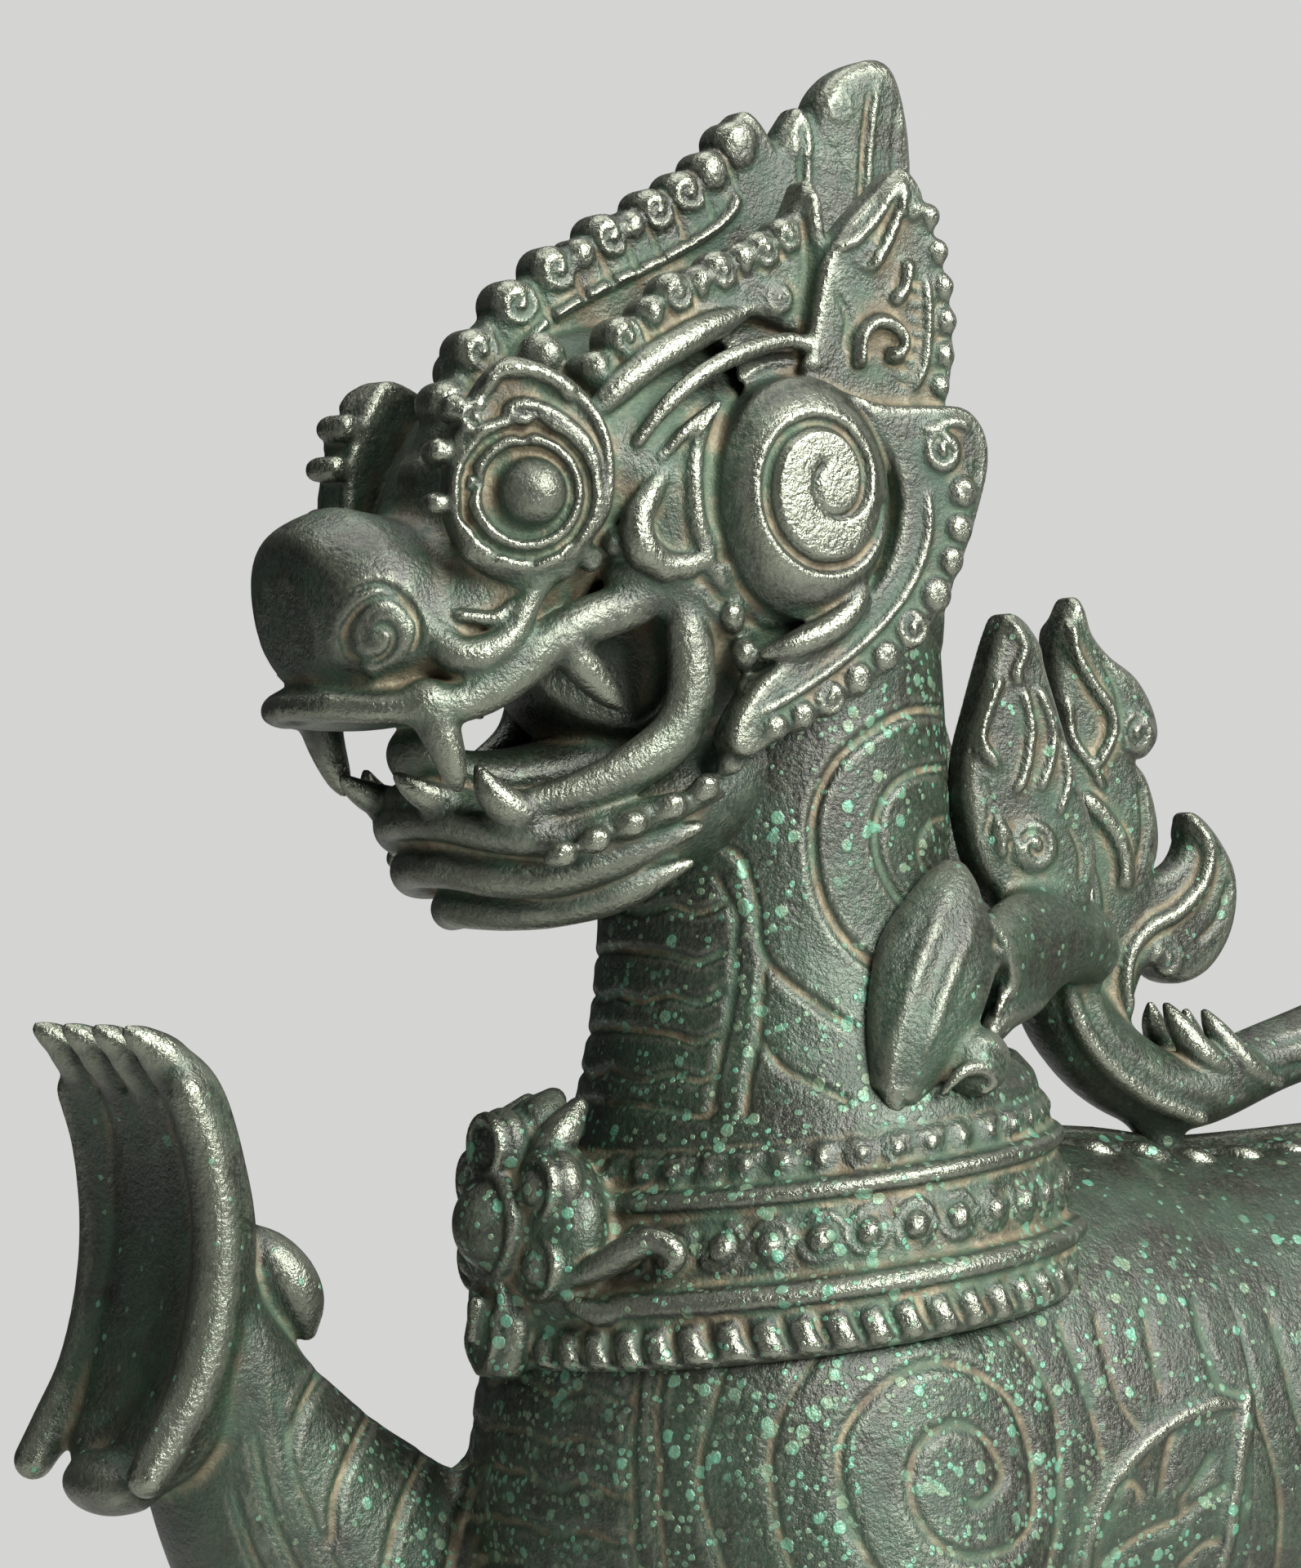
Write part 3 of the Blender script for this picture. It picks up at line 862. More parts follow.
def paw(wax, x, y):
    """A standing paw: a broad foot with four clawed toes and a dewclaw."""
    middle = GROUND + 13.5
    wax.loft([(x, y + 26, middle - 3, 11, 9), (x, y + 12, middle + 1, 20, 14.5), (x, y - 12, middle - 1, 23, 12.4),
              (x, y - 24, middle - 3, 20.7, 9.7)], blend=5)
    for k in range(4):
        side = (k - 1.5) / 1.5
        ax, ay = x + side * 17.2, y - 26.7 + abs(side) * 4.3
        wax.rod([(ax, ay + 16, GROUND + 15), (ax, ay + 4, GROUND + 12.5), (ax, ay - 7, GROUND + 8.4)], [5, 7.2, 5.8], blend=1.2)
        wax.rod([(ax, ay - 8, GROUND + 9.5), (ax, ay - 13, GROUND + 7.4), (ax, ay - 17, GROUND + 1.6)], [3.8, 3.0, 1.0], blend=0.6)
        wax.rod([(ax, ay - 3, GROUND + 18.4), (ax, ay + 5, GROUND + 20.6)], 0.8, cut=True, blend=0.6)
    cells, px, py, pz = wax.near((x - 40, y - 60, GROUND - 12), (x + 40, y + 50, GROUND + 8))
    wax.press(cells, np.broadcast_to(pz - GROUND, wax.d[cells].shape).astype(np.float32), cut=True)


def anklets(wax, x, y, z, radius, lean=0.0):
    """Two turned rings above a paw."""
    for k in (0, 1):
        ring = [(x + (radius + 0.6) * math.cos(t), y + (radius + 2.4) * math.sin(t), z + 7 * k + lean * math.sin(t))
                for t in np.linspace(0, 2 * math.pi, 17)]
        wax.rod(ring, 2.1, blend=1.2, per=2)


def leg_scrolls(sketch, line, gap=7.5):
    """Parallel grooves across a leg, bowed like the bands of the forearm."""
    for (y, z, half) in line:
        sketch.groove([(y - half, z + 3), (y - half * 0.4, z - 1.5), (y + half * 0.3, z - 0.5), (y + half, z + 4.5)], 2.1, 0.8, 0.12)


def side_drawing():
    """The grooves of the shoulder, the chest's edge, and the leaf of the wing, as the near side shows them."""
    side = Sketch((-150, 196), (70, 372))
    plane = 60
    spiral = [
        (-38.1, 311.4), (-35.5, 308.5), (-31.9, 309.9), (-28.6, 313.6), (-29.9, 318), (-33.8, 322.6), (-39.7, 325.3),
        (-44.9, 324.2), (-48.8, 321.7), (-51.4, 317), (-51.4, 310.5), (-48.2, 304.4), (-42.3, 299.7), (-35.2, 297.9),
        (-26.6, 299.2), (-21.3, 303.3), (-20.3, 310.9), (-21.3, 318.6), (-25.3, 328.2), (-31.8, 333.9), (-41, 337.6),
        (-49.4, 337.5), (-57.8, 334.1), (-64.8, 328.5), (-68.7, 322.2), (-68.7, 314.2), (-66.1, 306), (-61, 297.1),
        (-54, 288), (-45, 280), (-35, 272),
    ]
    side.groove(seen(spiral, 66, plane), 2.9, 1.15, 0.015, per=4)
    for line, x in (
        ([(-107.8, 342), (-108.4, 328.3), (-109.7, 322.9), (-109.1, 312.9), (-108.4, 300.7), (-106, 280), (-101, 260), (-94, 242)], 50),
        ([(-103.7, 341), (-105.6, 327.4), (-104.6, 316.3), (-105, 308.7), (-103.7, 298.7), (-101, 280), (-96, 262), (-90, 248)], 54),
        ([(-91.2, 343), (-95.1, 331.8), (-98.3, 322.1), (-98.9, 313.3), (-96.4, 305.5), (-93.8, 298.7), (-89, 286), (-82, 272), (-74, 260)], 60),
        ([(-67, 346), (-75.6, 335.5), (-80.8, 328), (-83.4, 319.2), (-82.1, 309.2), (-79.5, 300.2), (-73, 288), (-64, 276), (-54, 266)], 62),
        ([(-36.4, 351.6), (-28.5, 345.8), (-21.9, 339.5), (-16.6, 332.1), (-14, 324.9), (-13.3, 313.8), (-14, 302), (-18, 290)], 66),
        ([(-9.5, 346), (-8.2, 341.4), (-2.7, 329.6), (1.5, 314.5)], 60),
        ([(0.5, 347), (1.5, 340.9), (5.7, 328.1), (11.3, 320.9)], 60),
        ([(13, 348), (14.2, 340.4), (17, 327.5)], 60),
        ([(27, 348), (28.5, 339.8), (32.8, 329.1), (40, 326.4)], 60),
    ):
        side.groove(seen(line, x, plane), 2.5, 1.05, 0.04)
    wing = [(40.7, 326.4), (31, 325.4), (21.3, 322.7), (13, 318), (7.1, 313), (2.5, 308), (-0.6, 302), (-3, 294), (-3, 282), (2, 270),
            (10, 262), (18, 270), (26, 280), (33.5, 291), (36, 302), (38, 312)]
    side.ridge([*wing, wing[0]], 3.0, 1.3, 0)
    for line in (
        [(20.6, 320.5), (17.8, 314), (16.3, 306)], [(31.3, 315.3), (26, 309.4), (20.5, 303.4)], [(36.3, 308), (28, 305.4), (20, 301)],
        [(22, 301.4), (13, 299), (6.3, 295.9), (0.7, 292.4)], [(33, 296.5), (27, 294.6), (21, 289.6)], [(29, 284.5), (20, 283), (10, 276)],
        [(10.4, 305), (10.9, 308.4), (7.4, 310), (5, 307.4)],
    ):
        side.groove(line, 2.4, 1.15, 0.1)
    for k in range(14):
        z = 331.5 - 9.6 * k
        rise = 1.0 + 0.6 * (-1) ** k
        edge = -113.4 + max(0, 300 - z) * 0.16
        side.groove([(-150, z - 1.6), (-143, z + rise), (-134, z - 1.2), (-126, z + rise * 0.6), (edge - 4, z - 1.8), (edge, z + 1.6)], 2.3, 1.05, 0.03)
    return side


def raised_foreleg(wax):
    """The forearm held forward, its broad hollow sole and four clawed toes that bend over at the top."""
    x, lean = -42, 0.14
    arm = [
        (-32, -50, 300, 30, 40), (-37, -82, 277, 30, 37), (x, -112, 275, 27, 36), (x, -137, 295, 25, 31), (x, -154, 319, 24, 23),
        (x, -162, 340, 24, 15), (x, -164, 354, 20, 9),
    ]
    wax.loft(arm, blend=8)
    palm = [
        (x, -184, 307, 10, 4.5), (x, -181, 315, 20, 8.5), (x, -174.5, 326, 24, 10.5), (x, -170, 345, 24, 10.5), (x, -168, 365, 25, 9.5),
        (x, -171.5, 385, 24, 7.5), (x, -178, 397, 21, 5),
    ]
    aslant = (1, lean, 0)
    wax.loft(palm, aslant, blend=3)
    hollow = [(x, -191, 318, 5, 4), (x, -187, 334, 15, 8), (x, -185, 352, 18, 8.4), (x, -185.5, 370, 17.5, 8), (x, -190, 392, 12, 6)]
    wax.loft(hollow, aslant, blend=3.5, cut=True)
    for k in range(4):
        out = (k - 1.5) / 1.5 * 17.5
        y = out * lean
        wax.rod([(x + out * 0.96, -170 + y, 366), (x + out, -171.5 + y, 380), (x + out, -176 + y, 394), (x + out * 1.02, -184 + y, 402.6)],
                [4.4, 6.2, 6.2, 4.6], blend=1.2)
        wax.rod([(x + out, -182 + y, 402), (x + out * 1.02, -187.4 + y, 405.2), (x + out * 1.03, -191.8 + y, 407.6)], [4.4, 3.4, 1.5], blend=0.6)
        if k < 3:
            gap = out + 5.8
            wax.rod([(x + gap, -181 + gap * lean, 368), (x + gap, -182 + gap * lean, 384), (x + gap, -187 + gap * lean, 398)], [0.7, 1.7, 1.8], cut=True, blend=1.0)
            wax.rod([(x + gap, -161 + gap * lean, 372), (x + gap, -166 + gap * lean, 390), (x + gap, -176 + gap * lean, 404)], [0.8, 1.6, 1.6], cut=True, blend=1.0)
    # The rounded lips of the sole, the heel lobe and the dewclaw behind it.
    for s in (1, -1):
        out = 22.5 * s
        edge = [(-187, 314, 4.4), (-182, 322, 5.0), (-175.5, 334, 5.4), (-171.6, 350, 5.4), (-170.8, 366, 5.2), (-173.2, 382, 4.6), (-178, 394, 3.6)]
        wax.rod([(x + out, y - 2.6 + out * lean, z) for y, z, _ in edge], [r for _, _, r in edge], blend=3.5)
    wax.ball((x + 3, -186.5, 311), (15, 8.5, 6.8), blend=3)
    wax.rod([(x + 8, -158, 362), (x + 11, -152, 357), (x + 12, -147, 350), (x + 12, -143.6, 341.6)], [4.4, 6.6, 6.4, 1.8], blend=1.5)
    wax.rod([(x + 17, -160, 352), (x + 21, -164, 336), (x + 20, -166, 322)], [1.4, 2.6, 1.4], blend=1.2)


def forearm_bands(wax):
    """Diagonal overlapping bands, each stepping over the next, and long folds below the sole."""
    bands = Sketch((-196, 236), (-84, 372))
    for line, width in (
        ([(-139, 344), (-146, 336), (-152, 326), (-154.6, 317)], 2.6), ([(-131.5, 330), (-138, 320), (-143.4, 308), (-144, 297)], 2.8),
        ([(-120, 318), (-127, 306), (-131, 292), (-130.6, 280)], 2.8), ([(-106, 314), (-113, 300), (-116.6, 284), (-115, 268)], 2.8),
        ([(-94, 312), (-99.6, 296), (-102, 280), (-100, 262)], 2.6), ([(-163, 324), (-159, 306), (-150, 288), (-138, 270)], 2.2),
        ([(-168.4, 312), (-163, 296), (-154, 280), (-142, 262)], 2.2), ([(-157, 332), (-153.4, 314), (-145, 296), (-133, 276)], 1.8),
    ):
        bands.groove(line, width, 1.25, 0.06, lip=0.35)
    low, high = (-80, -200, 230), (-8, -84, 380)

    def lay(p):
        return p[:, 1] + 0.577 * (p[:, 0] + 18), p[:, 2]

    wax.emboss(bands, lay, lambda p, n: 0.8 * n[:, 0] - 0.3 * n[:, 1] + 0.2, (low, high), (0.1, 0.35))
    wax.emboss(bands, lambda p: (p[:, 1] - 0.3 * (p[:, 0] + 66), p[:, 2]), lambda p, n: -n[:, 0], (low, high), (0.35, 0.6))


def model_forequarters(cell):
    wax = Wax((-78, -198, 33), (78, 46, 414), cell)
    trunk(wax)
    wax.loft([(40, -42, 318, 22, 36), (45, -43, 285, 27, 37), (46, -45, 238, 24, 31), (46, -42, 185, 18, 21), (46, -45, 130, 15, 17),
              (46, -48, 80, 17, 20), (46, -54, 49.3, 19, 21)], blend=8)
    paw(wax, 46, -63)
    anklets(wax, 46, -48, 82, 17)
    wax.rod([(46, -24, 214), (46, -17, 205), (46, -20, 192), (46, -26, 184)], [3, 6, 5, 2], blend=3)
    raised_foreleg(wax)
    side = side_drawing()
    wax.emboss(side, sight_lay(60), sight_facing, ((-78, -130, 196), (78, 46, 378)), (0.1, 0.35))
    forearm_bands(wax)
    leg = Sketch((-110, 90), (10, 262))
    leg_scrolls(leg, [(-45, 246, 27), (-45, 230, 26), (-44, 214, 24), (-43, 198, 20), (-42.5, 182, 17), (-43, 166, 15), (-44, 150, 14)])
    for s in (1, -1):
        wax.emboss(leg, side_lay, lambda p, n: s * n[:, 0], ((24, -90, 96), (78, 6, 262)), (0.3, 0.6))
    wax.soften(1)
    wax.sink(lambda y: y - SEAM)

    def spots(p):
        upper = 0.95 * ease((p[:, 2] - 180) / 80) * (0.35 + 0.65 * ease((p[:, 1] + 150) / 30))
        return upper + (BACK_SPOTS - upper) * ease(p[:, 1] / SEAM)

    return cast(wax, "forequarters", 195000, spots=spots)


def model_hindquarters(cell):
    wax = Wax((-78, 38, 33), (78, 214, 392), cell)
    trunk(wax)
    for s, stride in ((LEFT, 24), (RIGHT, -8)):
        wax.loft(mirrored(s, [
            (38, 150, 320, 22, 44), (45, 143, 285, 28, 47), (47, 126, 238, 26, 39), (47, 121, 198, 21, 28),
            (46, 138 + stride * 0.5, 154, 16, 20), (46, 158 + stride, 118, 14, 18), (46, 154 + stride, 78, 15, 18),
            (46, 147 + stride, 49.3, 19, 21)]), blend=8)
        paw(wax, s * 46, 134 + stride)
        anklets(wax, s * 46, 154 + stride, 80, 15.5)
        wax.rod([(s * 46, 158 + stride, 134), (s * 46, 172 + stride, 128), (s * 46, 176 + stride, 118)], [4, 5, 2], blend=3)
    thigh = Sketch((30, 90), (220, 392))
    thigh.spiral((146, 300), 27, 1.7, 0.8, -1, width=2.9, depth=1.15, taper=0.02)
    thigh.groove([(172, 306), (176, 286), (170, 262), (156, 240), (146, 222)], 2.5, 1.0, 0.05)
    thigh.groove([(182, 316), (187, 290), (181, 262), (166, 236), (154, 214)], 2.5, 1.0, 0.05)
    thigh.groove([(120, 330), (106, 312), (102, 288), (108, 262), (118, 240)], 2.5, 1.0, 0.05)
    thigh.groove([(112, 340), (94, 318), (90, 288), (96, 258), (108, 234)], 2.5, 1.0, 0.05)
    for k in range(4):
        thigh.groove([(42 + 11 * k, 348 - k), (44 + 11 * k, 326), (50 + 10 * k, 304), (50 + 9 * k, 280), (44 + 8 * k, 262)], 2.4, 0.95, 0.05)
    leg_scrolls(thigh, [(128, 226, 26), (125, 210, 24), (126, 194, 21)])
    for s in (LEFT, RIGHT):
        wax.emboss(thigh, side_lay, lambda p, n: s * n[:, 0], ((-78, 40, 96), (78, 214, 392)), (0.3, 0.6))
    wax.soften(1)
    wax.sink(lambda y: SEAM - y)
    return cast(wax, "hindquarters", 150000, spots=BACK_SPOTS)


def model_back(cell):
    """The raised band along the spine, with a row of low leaves on either side of it."""
    wax = Wax((-2, -12, 350), (26, 204, 398), cell)
    top = [(-12, 378.6), (0, 380.4), (20, 381.4), (40, 380.6), (60, 378.2), (80, 378.8), (105, 380.6), (130, 383), (150, 385.6), (170, 382.4),
           (186, 372), (198, 358)]
    wax.rod([(0, y, z - 6.2) for y, z in top], [8.2] * len(top), blend=0, flat=((0, 0, 1), 0.9))
    wax.rod([(0, y, z + 0.4) for y, z in top], [2.6] * len(top), blend=1.2)
    for k in range(13):
        y = 2 + 14 * k
        z = float(np.interp(y, [p[0] for p in top], [p[1] for p in top]))
        wax.rod([(5, y, z - 1.6), (9.4, y + 5, z - 3.0), (11.6, y + 11, z - 5.4)], [1.6, 3.2, 0.9], blend=0.8)
    wax.soften(1)
    wax.whole()
    return cast(wax, "spine_band", 30000, spots=0.5)


# ---------------------------------------------------------------- the tail


def model_tail(cell):
    wax = Wax((-2, -58, 352), (58, 222, 512), cell)
    stem = [
        (0, 186, 338, 14, 14), (0, 204, 366, 12, 12), (0, 205, 400, 10, 10), (0, 184, 424, 9.5, 9.5), (0, 152, 424, 9.5, 9.5),
        (0, 122, 409, 9, 9), (0, 92, 399, 9, 8.2), (0, 64, 391, 11, 9), (0, 42, 400, 11, 10), (0, 29, 419, 10, 9), (0, 30, 446, 6, 6),
    ]
    wax.loft(stem)
    wax.rod([(0, 58, 386), (0, 60, 378), (0, 64, 368)], [6, 5.5, 8], blend=4, flat=((1, 0, 0), 0.8))
    flame = Sketch((14, 404), (92, 512))
    flame.outline([
        (27, 428), (26, 445), (26.8, 460), (29, 474), (28, 484), (28.4, 493), (31.2, 500.4), (33.8, 504.4), (36.6, 501.6), (38.6, 496),
        (43.4, 491), (50.6, 486.4), (55.4, 479.6), (57, 472.6), (53.6, 467.8), (50.4, 467), (53.6, 463.4), (56.4, 455.4), (57, 447), (54.4, 439),
        (50, 428), (40, 416),
    ])
    flame.ridge([(31, 499), (32.2, 491), (36.6, 484), (41.4, 478), (41.6, 472), (37, 465)], 3.4, 2.4, 0.06)
    flame.groove([(39.6, 491), (44, 483), (45.6, 476)], 1.6, 1.0, 0.1)
    flame.scroll((49.4, 473.2), 5.4, 2.2, -1, 1.8)
    flame.ridge([(30, 481), (31.4, 472), (36, 466), (40, 460)], 2.6, 1.6)
    flame.ridge([(33, 459), (40, 453.4), (44.8, 446), (45.6, 437)], 5.2, 2.4, 0.1)
    flame.groove([(50.4, 462), (51.4, 452), (49.6, 442)], 1.7, 1.1, 0.1)
    flame.ridge([(31, 447), (36, 441), (38, 432)], 3.4, 1.6)
    wax.plate(flame, 0, 9, edge=2.4, swell=1.6, blend=2)
    curl = Sketch((28, 388), (92, 466))
    curl.outline([
        (36, 424), (40, 436), (47, 445.4), (54.9, 441.4), (61.6, 443.6), (64.8, 448.6), (65.4, 455), (69, 454.6), (74.2, 449.7), (78.7, 442.4),
        (79.4, 434.3), (77, 426), (71.4, 419), (64.4, 416), (58, 416.6), (54, 420), (50, 412), (48, 404), (40, 406),
    ])
    curl.ridge([(67, 453), (69.6, 446), (67.4, 438.8), (60.6, 432.5), (53.2, 428.9), (47.8, 423.6), (46.2, 416.5), (48, 408)], 4.2, 2.4, 0.06)
    curl.scroll((57.4, 421.6), 5.0, 1.0, 1, 1.6)
    curl.groove([(76, 440), (72.6, 431), (66, 425)], 1.7, 1.0, 0.1)
    curl.groove([(73.6, 446), (71.6, 438), (66.6, 431)], 1.3, 0.7, 0.1)
    wax.plate(curl, 0, 8.5, edge=2.4, swell=1.2, blend=2)
    side = Sketch((-22, 424), (34, 506))
    side.outline([
        (10, 430), (0, 433), (-6.6, 440), (-10, 448), (-11.8, 458), (-11, 468), (-8, 478), (-5.2, 486.8), (-2.6, 494), (0, 498.4), (4.4, 496.8),
        (8.6, 491.6), (9.6, 487.2), (12.4, 479.4), (15.4, 470.8), (19, 460.4), (22.4, 451.7), (23.6, 442), (20, 434),
    ])
    side.ridge([(-0.6, 496.4), (2.8, 491), (0.4, 485.4), (1.6, 482.6)], 2.6, 1.6, 0.08)
    side.ridge([(-3.6, 484.5), (-7.6, 476), (-8.6, 469.5), (-4.2, 464)], 3.0, 2.0, 0.08)
    side.ridge([(2, 481.7), (4.2, 473.1), (2.4, 463), (-0.4, 458.6)], 2.4, 1.7, 0.08)
    side.ridge([(6.4, 482), (9.6, 474.9), (10, 467.6), (6.4, 459)], 2.4, 1.7, 0.08)
    side.ridge([(13.4, 470), (14.6, 462), (11.6, 454)], 2.4, 1.4, 0.08)
    side.ridge([(-3, 444.6), (-4.4, 451.6), (-1.4, 448.2)], 2.6, 1.6, 0.08)
    side.scroll((4.8, 446.8), 6.2, 2.0, 1, 2.0)
    side.groove([(-8.4, 462), (-6, 455), (-8, 448)], 1.4, 1.0, 0.1)
    side.groove([(14.6, 452), (17.6, 446), (18, 439)], 1.6, 1.0, 0.1)
    wax.plate(side, 23, 9.5, edge=2.2, swell=1.4, blend=2)
    # The two leaves that clasp the neck, ribbed lengthwise, each with a curled lobe at its foot.
    wax.loft([(6, 34, 424, 9, 9), (18, 20, 427, 10.5, 9), (29, 2, 424, 13.5, 8), (38, -14, 417, 15.5, 7)], side=(0, 0.3, 1), blend=4)
    wax.loft([(37.5, -22, 443, 3, 2.4), (40.5, -25, 436, 8, 5), (43.5, -30.5, 422, 13.6, 7), (46.5, -38, 406, 11.4, 7), (48, -44.6, 393, 5.4, 4.4)],
             side=(0, 1, 0.4), blend=4)
    wax.rod([(40, -24.4, 441), (44, -29, 434), (47.6, -36, 424), (49.4, -42, 412), (49.8, -46, 399), (49, -44.4, 391.6), (47, -40, 391)],
            [1.5, 2.4, 2.6, 2.6, 2.4, 2.2, 1.4], blend=1.0)
    wax.rod([(42, -20, 437), (47, -25, 428), (50.6, -32, 418), (52, -38, 406), (51.4, -41.6, 398)], [1.2, 2.0, 2.2, 2.0, 0.9], blend=0.9)
    wax.rod([(28, 6, 431), (37.5, -8, 427), (45, -18, 420.6), (49.4, -26, 412), (50.6, -31, 404)], [1.5, 2.2, 2.3, 2.1, 0.9], blend=0.9)
    wax.rod([(25, 10, 427), (34.5, -2, 422.5), (41, -10, 416.6), (44, -15, 410.6)], [1.4, 2.0, 2.0, 0.9], blend=0.9)
    wax.rod([(20, 14, 417), (31, 2, 413.6), (38, -8, 411), (43, -16, 406.6)], [3.2, 4.0, 3.8, 2.4], blend=1.4)
    wax.ball((48.6, -24, 400.6), (6.6, 8.6, 7.6), blend=1.6)
    wax.rod([(53, -35, 394), (54.4, -31, 398.4), (54.6, -26, 399.2), (54, -22.6, 396.4), (53.4, -25, 394)], [1.0, 1.5, 1.6, 1.4, 0.9], blend=0.7)
    wax.rod([(54.4, -38.4, 394.8), (55.4, -33, 401.4), (55, -24, 403.6), (54, -19, 399)], [0.7, 0.9, 0.9, 0.7], cut=True, blend=0.6)
    # Leaflets where the stem bends forward, and the ribs that run along it.
    for x, y, z in ((4, 59, 411.2), (4.5, 69.4, 409.6)):
        wax.rod([(x - 1, y, z), (x + 1, y + 2.6, z - 5.4), (x + 3, y + 8.4, z - 12.4), (x + 3.6, y + 18, z - 17)], [1.0, 3.0, 3.6, 1.6], blend=1.0)
    for x, line in ((8.6, [(34, 438), (34.6, 425), (34, 415), (37.6, 405), (47, 397.4), (60, 391.4), (76, 390)]),
                    (9.6, [(28.4, 432), (27, 420), (30, 408), (38, 398), (50, 390), (64, 385)])):
        wax.rod([(x, y, z) for y, z in line], [1.2, 2.0, 2.3, 2.4, 2.3, 2.0, 1.0][: len(line)], blend=1.2)
    ribs = Sketch((80, 370), (222, 440))
    ribs.groove([(84, 401), (110, 407), (140, 421), (165, 428), (188, 424)], 2.0, 0.9)
    ribs.groove([(84, 395), (110, 401), (140, 415), (165, 421), (186, 417)], 2.0, 0.9)
    wax.emboss(ribs, side_lay, side_facing, ((-2, 80, 352), (20, 222, 440)), (0.3, 0.6))
    wax.soften(1)
    wax.whole()
    return cast(wax, "tail", 150000, spots=0.4)


# ---------------------------------------------------------------- the plinth


def model_plinth(cell):
    """The low moulded plinth, with a row of plain lotus petals in its waist."""
    wax = Wax((-2, -222, -2), (94, 222, 37), cell)
    cells, x, y, z = wax.near((-2, -222, -2), (94, 222, 37))

    def slab(inset, low, high, soft):
        a = np.abs(x) - (92 - inset) + soft
        b = np.abs(y) - (218 - inset) + soft
        corner = (a + b) * 0.7071 - 0.5
        flat = np.maximum(np.maximum(a, b), corner - 0.7)
        tall = np.abs(z - (low + high) / 2) - (high - low) / 2 + soft
        return np.hypot(np.maximum(flat, 0), np.maximum(tall, 0)) + np.minimum(np.maximum(flat, tall), 0) - soft

    wax.press(cells, slab(0, 0, 12, 1.6).astype(np.float32))
    wax.press(cells, slab(8, 4, 30, 1.0).astype(np.float32), blend=2)
    wax.press(cells, slab(2, 26, 35, 1.8).astype(np.float32), blend=2)
    petals = Sketch((-230, 8), (230, 30))
    step = 16.0
    for k in range(-14, 15):
        u = k * step
        petals.ridge([(u - 7.4, 12), (u - 6.4, 19), (u, 25.4), (u + 6.4, 19), (u + 7.4, 12)], 1.8, 1.3, 0)
        petals.dome((u, 16), 4.2, 1.5, 1.5)
    box = ((-2, -222, 10), (94, 222, 28))
    wax.emboss(petals, side_lay, side_facing, box, (0.6, 0.9))
    wax.emboss(petals, lambda p: (p[:, 0], p[:, 2]), lambda p, n: np.abs(n[:, 1]), box, (0.6, 0.9))
    wax.whole()
    return cast(wax, "plinth_body", 50000, node="plinth", spots=0.3)


# ---------------------------------------------------------------- the patina


class Shader:
    """A material laid out node by node."""

    def __init__(self, name):
        self.material = bpy.data.materials.new(name)
        self.material.use_nodes = True
        self.tree = self.material.node_tree
        self.surface = self.tree.nodes["Principled BSDF"]

    def node(self, kind, *inputs, **settings):
        node = self.tree.nodes.new(kind)
        for key, value in settings.items():
            setattr(node, key, value)
        for socket, value in zip(node.inputs, inputs):
            self.put(socket, value)
        return node

    def put(self, socket, value):
        if isinstance(value, bpy.types.NodeSocket):
            self.tree.links.new(value, socket)
        elif value is not None:
            socket.default_value = value

    def math(self, operation, a, b=None, c=None, clamp=False):
        return self.node("ShaderNodeMath", a, b, c, operation=operation, use_clamp=clamp).outputs[0]

    def span(self, value, low, high, to_low=0.0, to_high=1.0):
        """Maps low..high smoothly to to_low..to_high."""
        return self.node("ShaderNodeMapRange", value, low, high, to_low, to_high, interpolation_type="SMOOTHSTEP").outputs[0]

    def noise(self, scale, detail=3.0, rough=0.55, warp=0.0):
        noise = self.node("ShaderNodeTexNoise")
        self.put(noise.inputs["Vector"], self.place)
        for key, value in (("Scale", scale), ("Detail", detail), ("Roughness", rough), ("Distortion", warp)):
            noise.inputs[key].default_value = value
        return noise.outputs[0]

    def mix(self, share, a, b):
        mix = self.node("ShaderNodeMix", data_type="RGBA")
        for index, value in ((0, share), (6, a), (7, b)):
            self.put(mix.inputs[index], value)
        return mix.outputs[2]

    def blend(self, share, a, b):
        return self.math("ADD", self.math("MULTIPLY", share, self.math("SUBTRACT", b, a)), a)


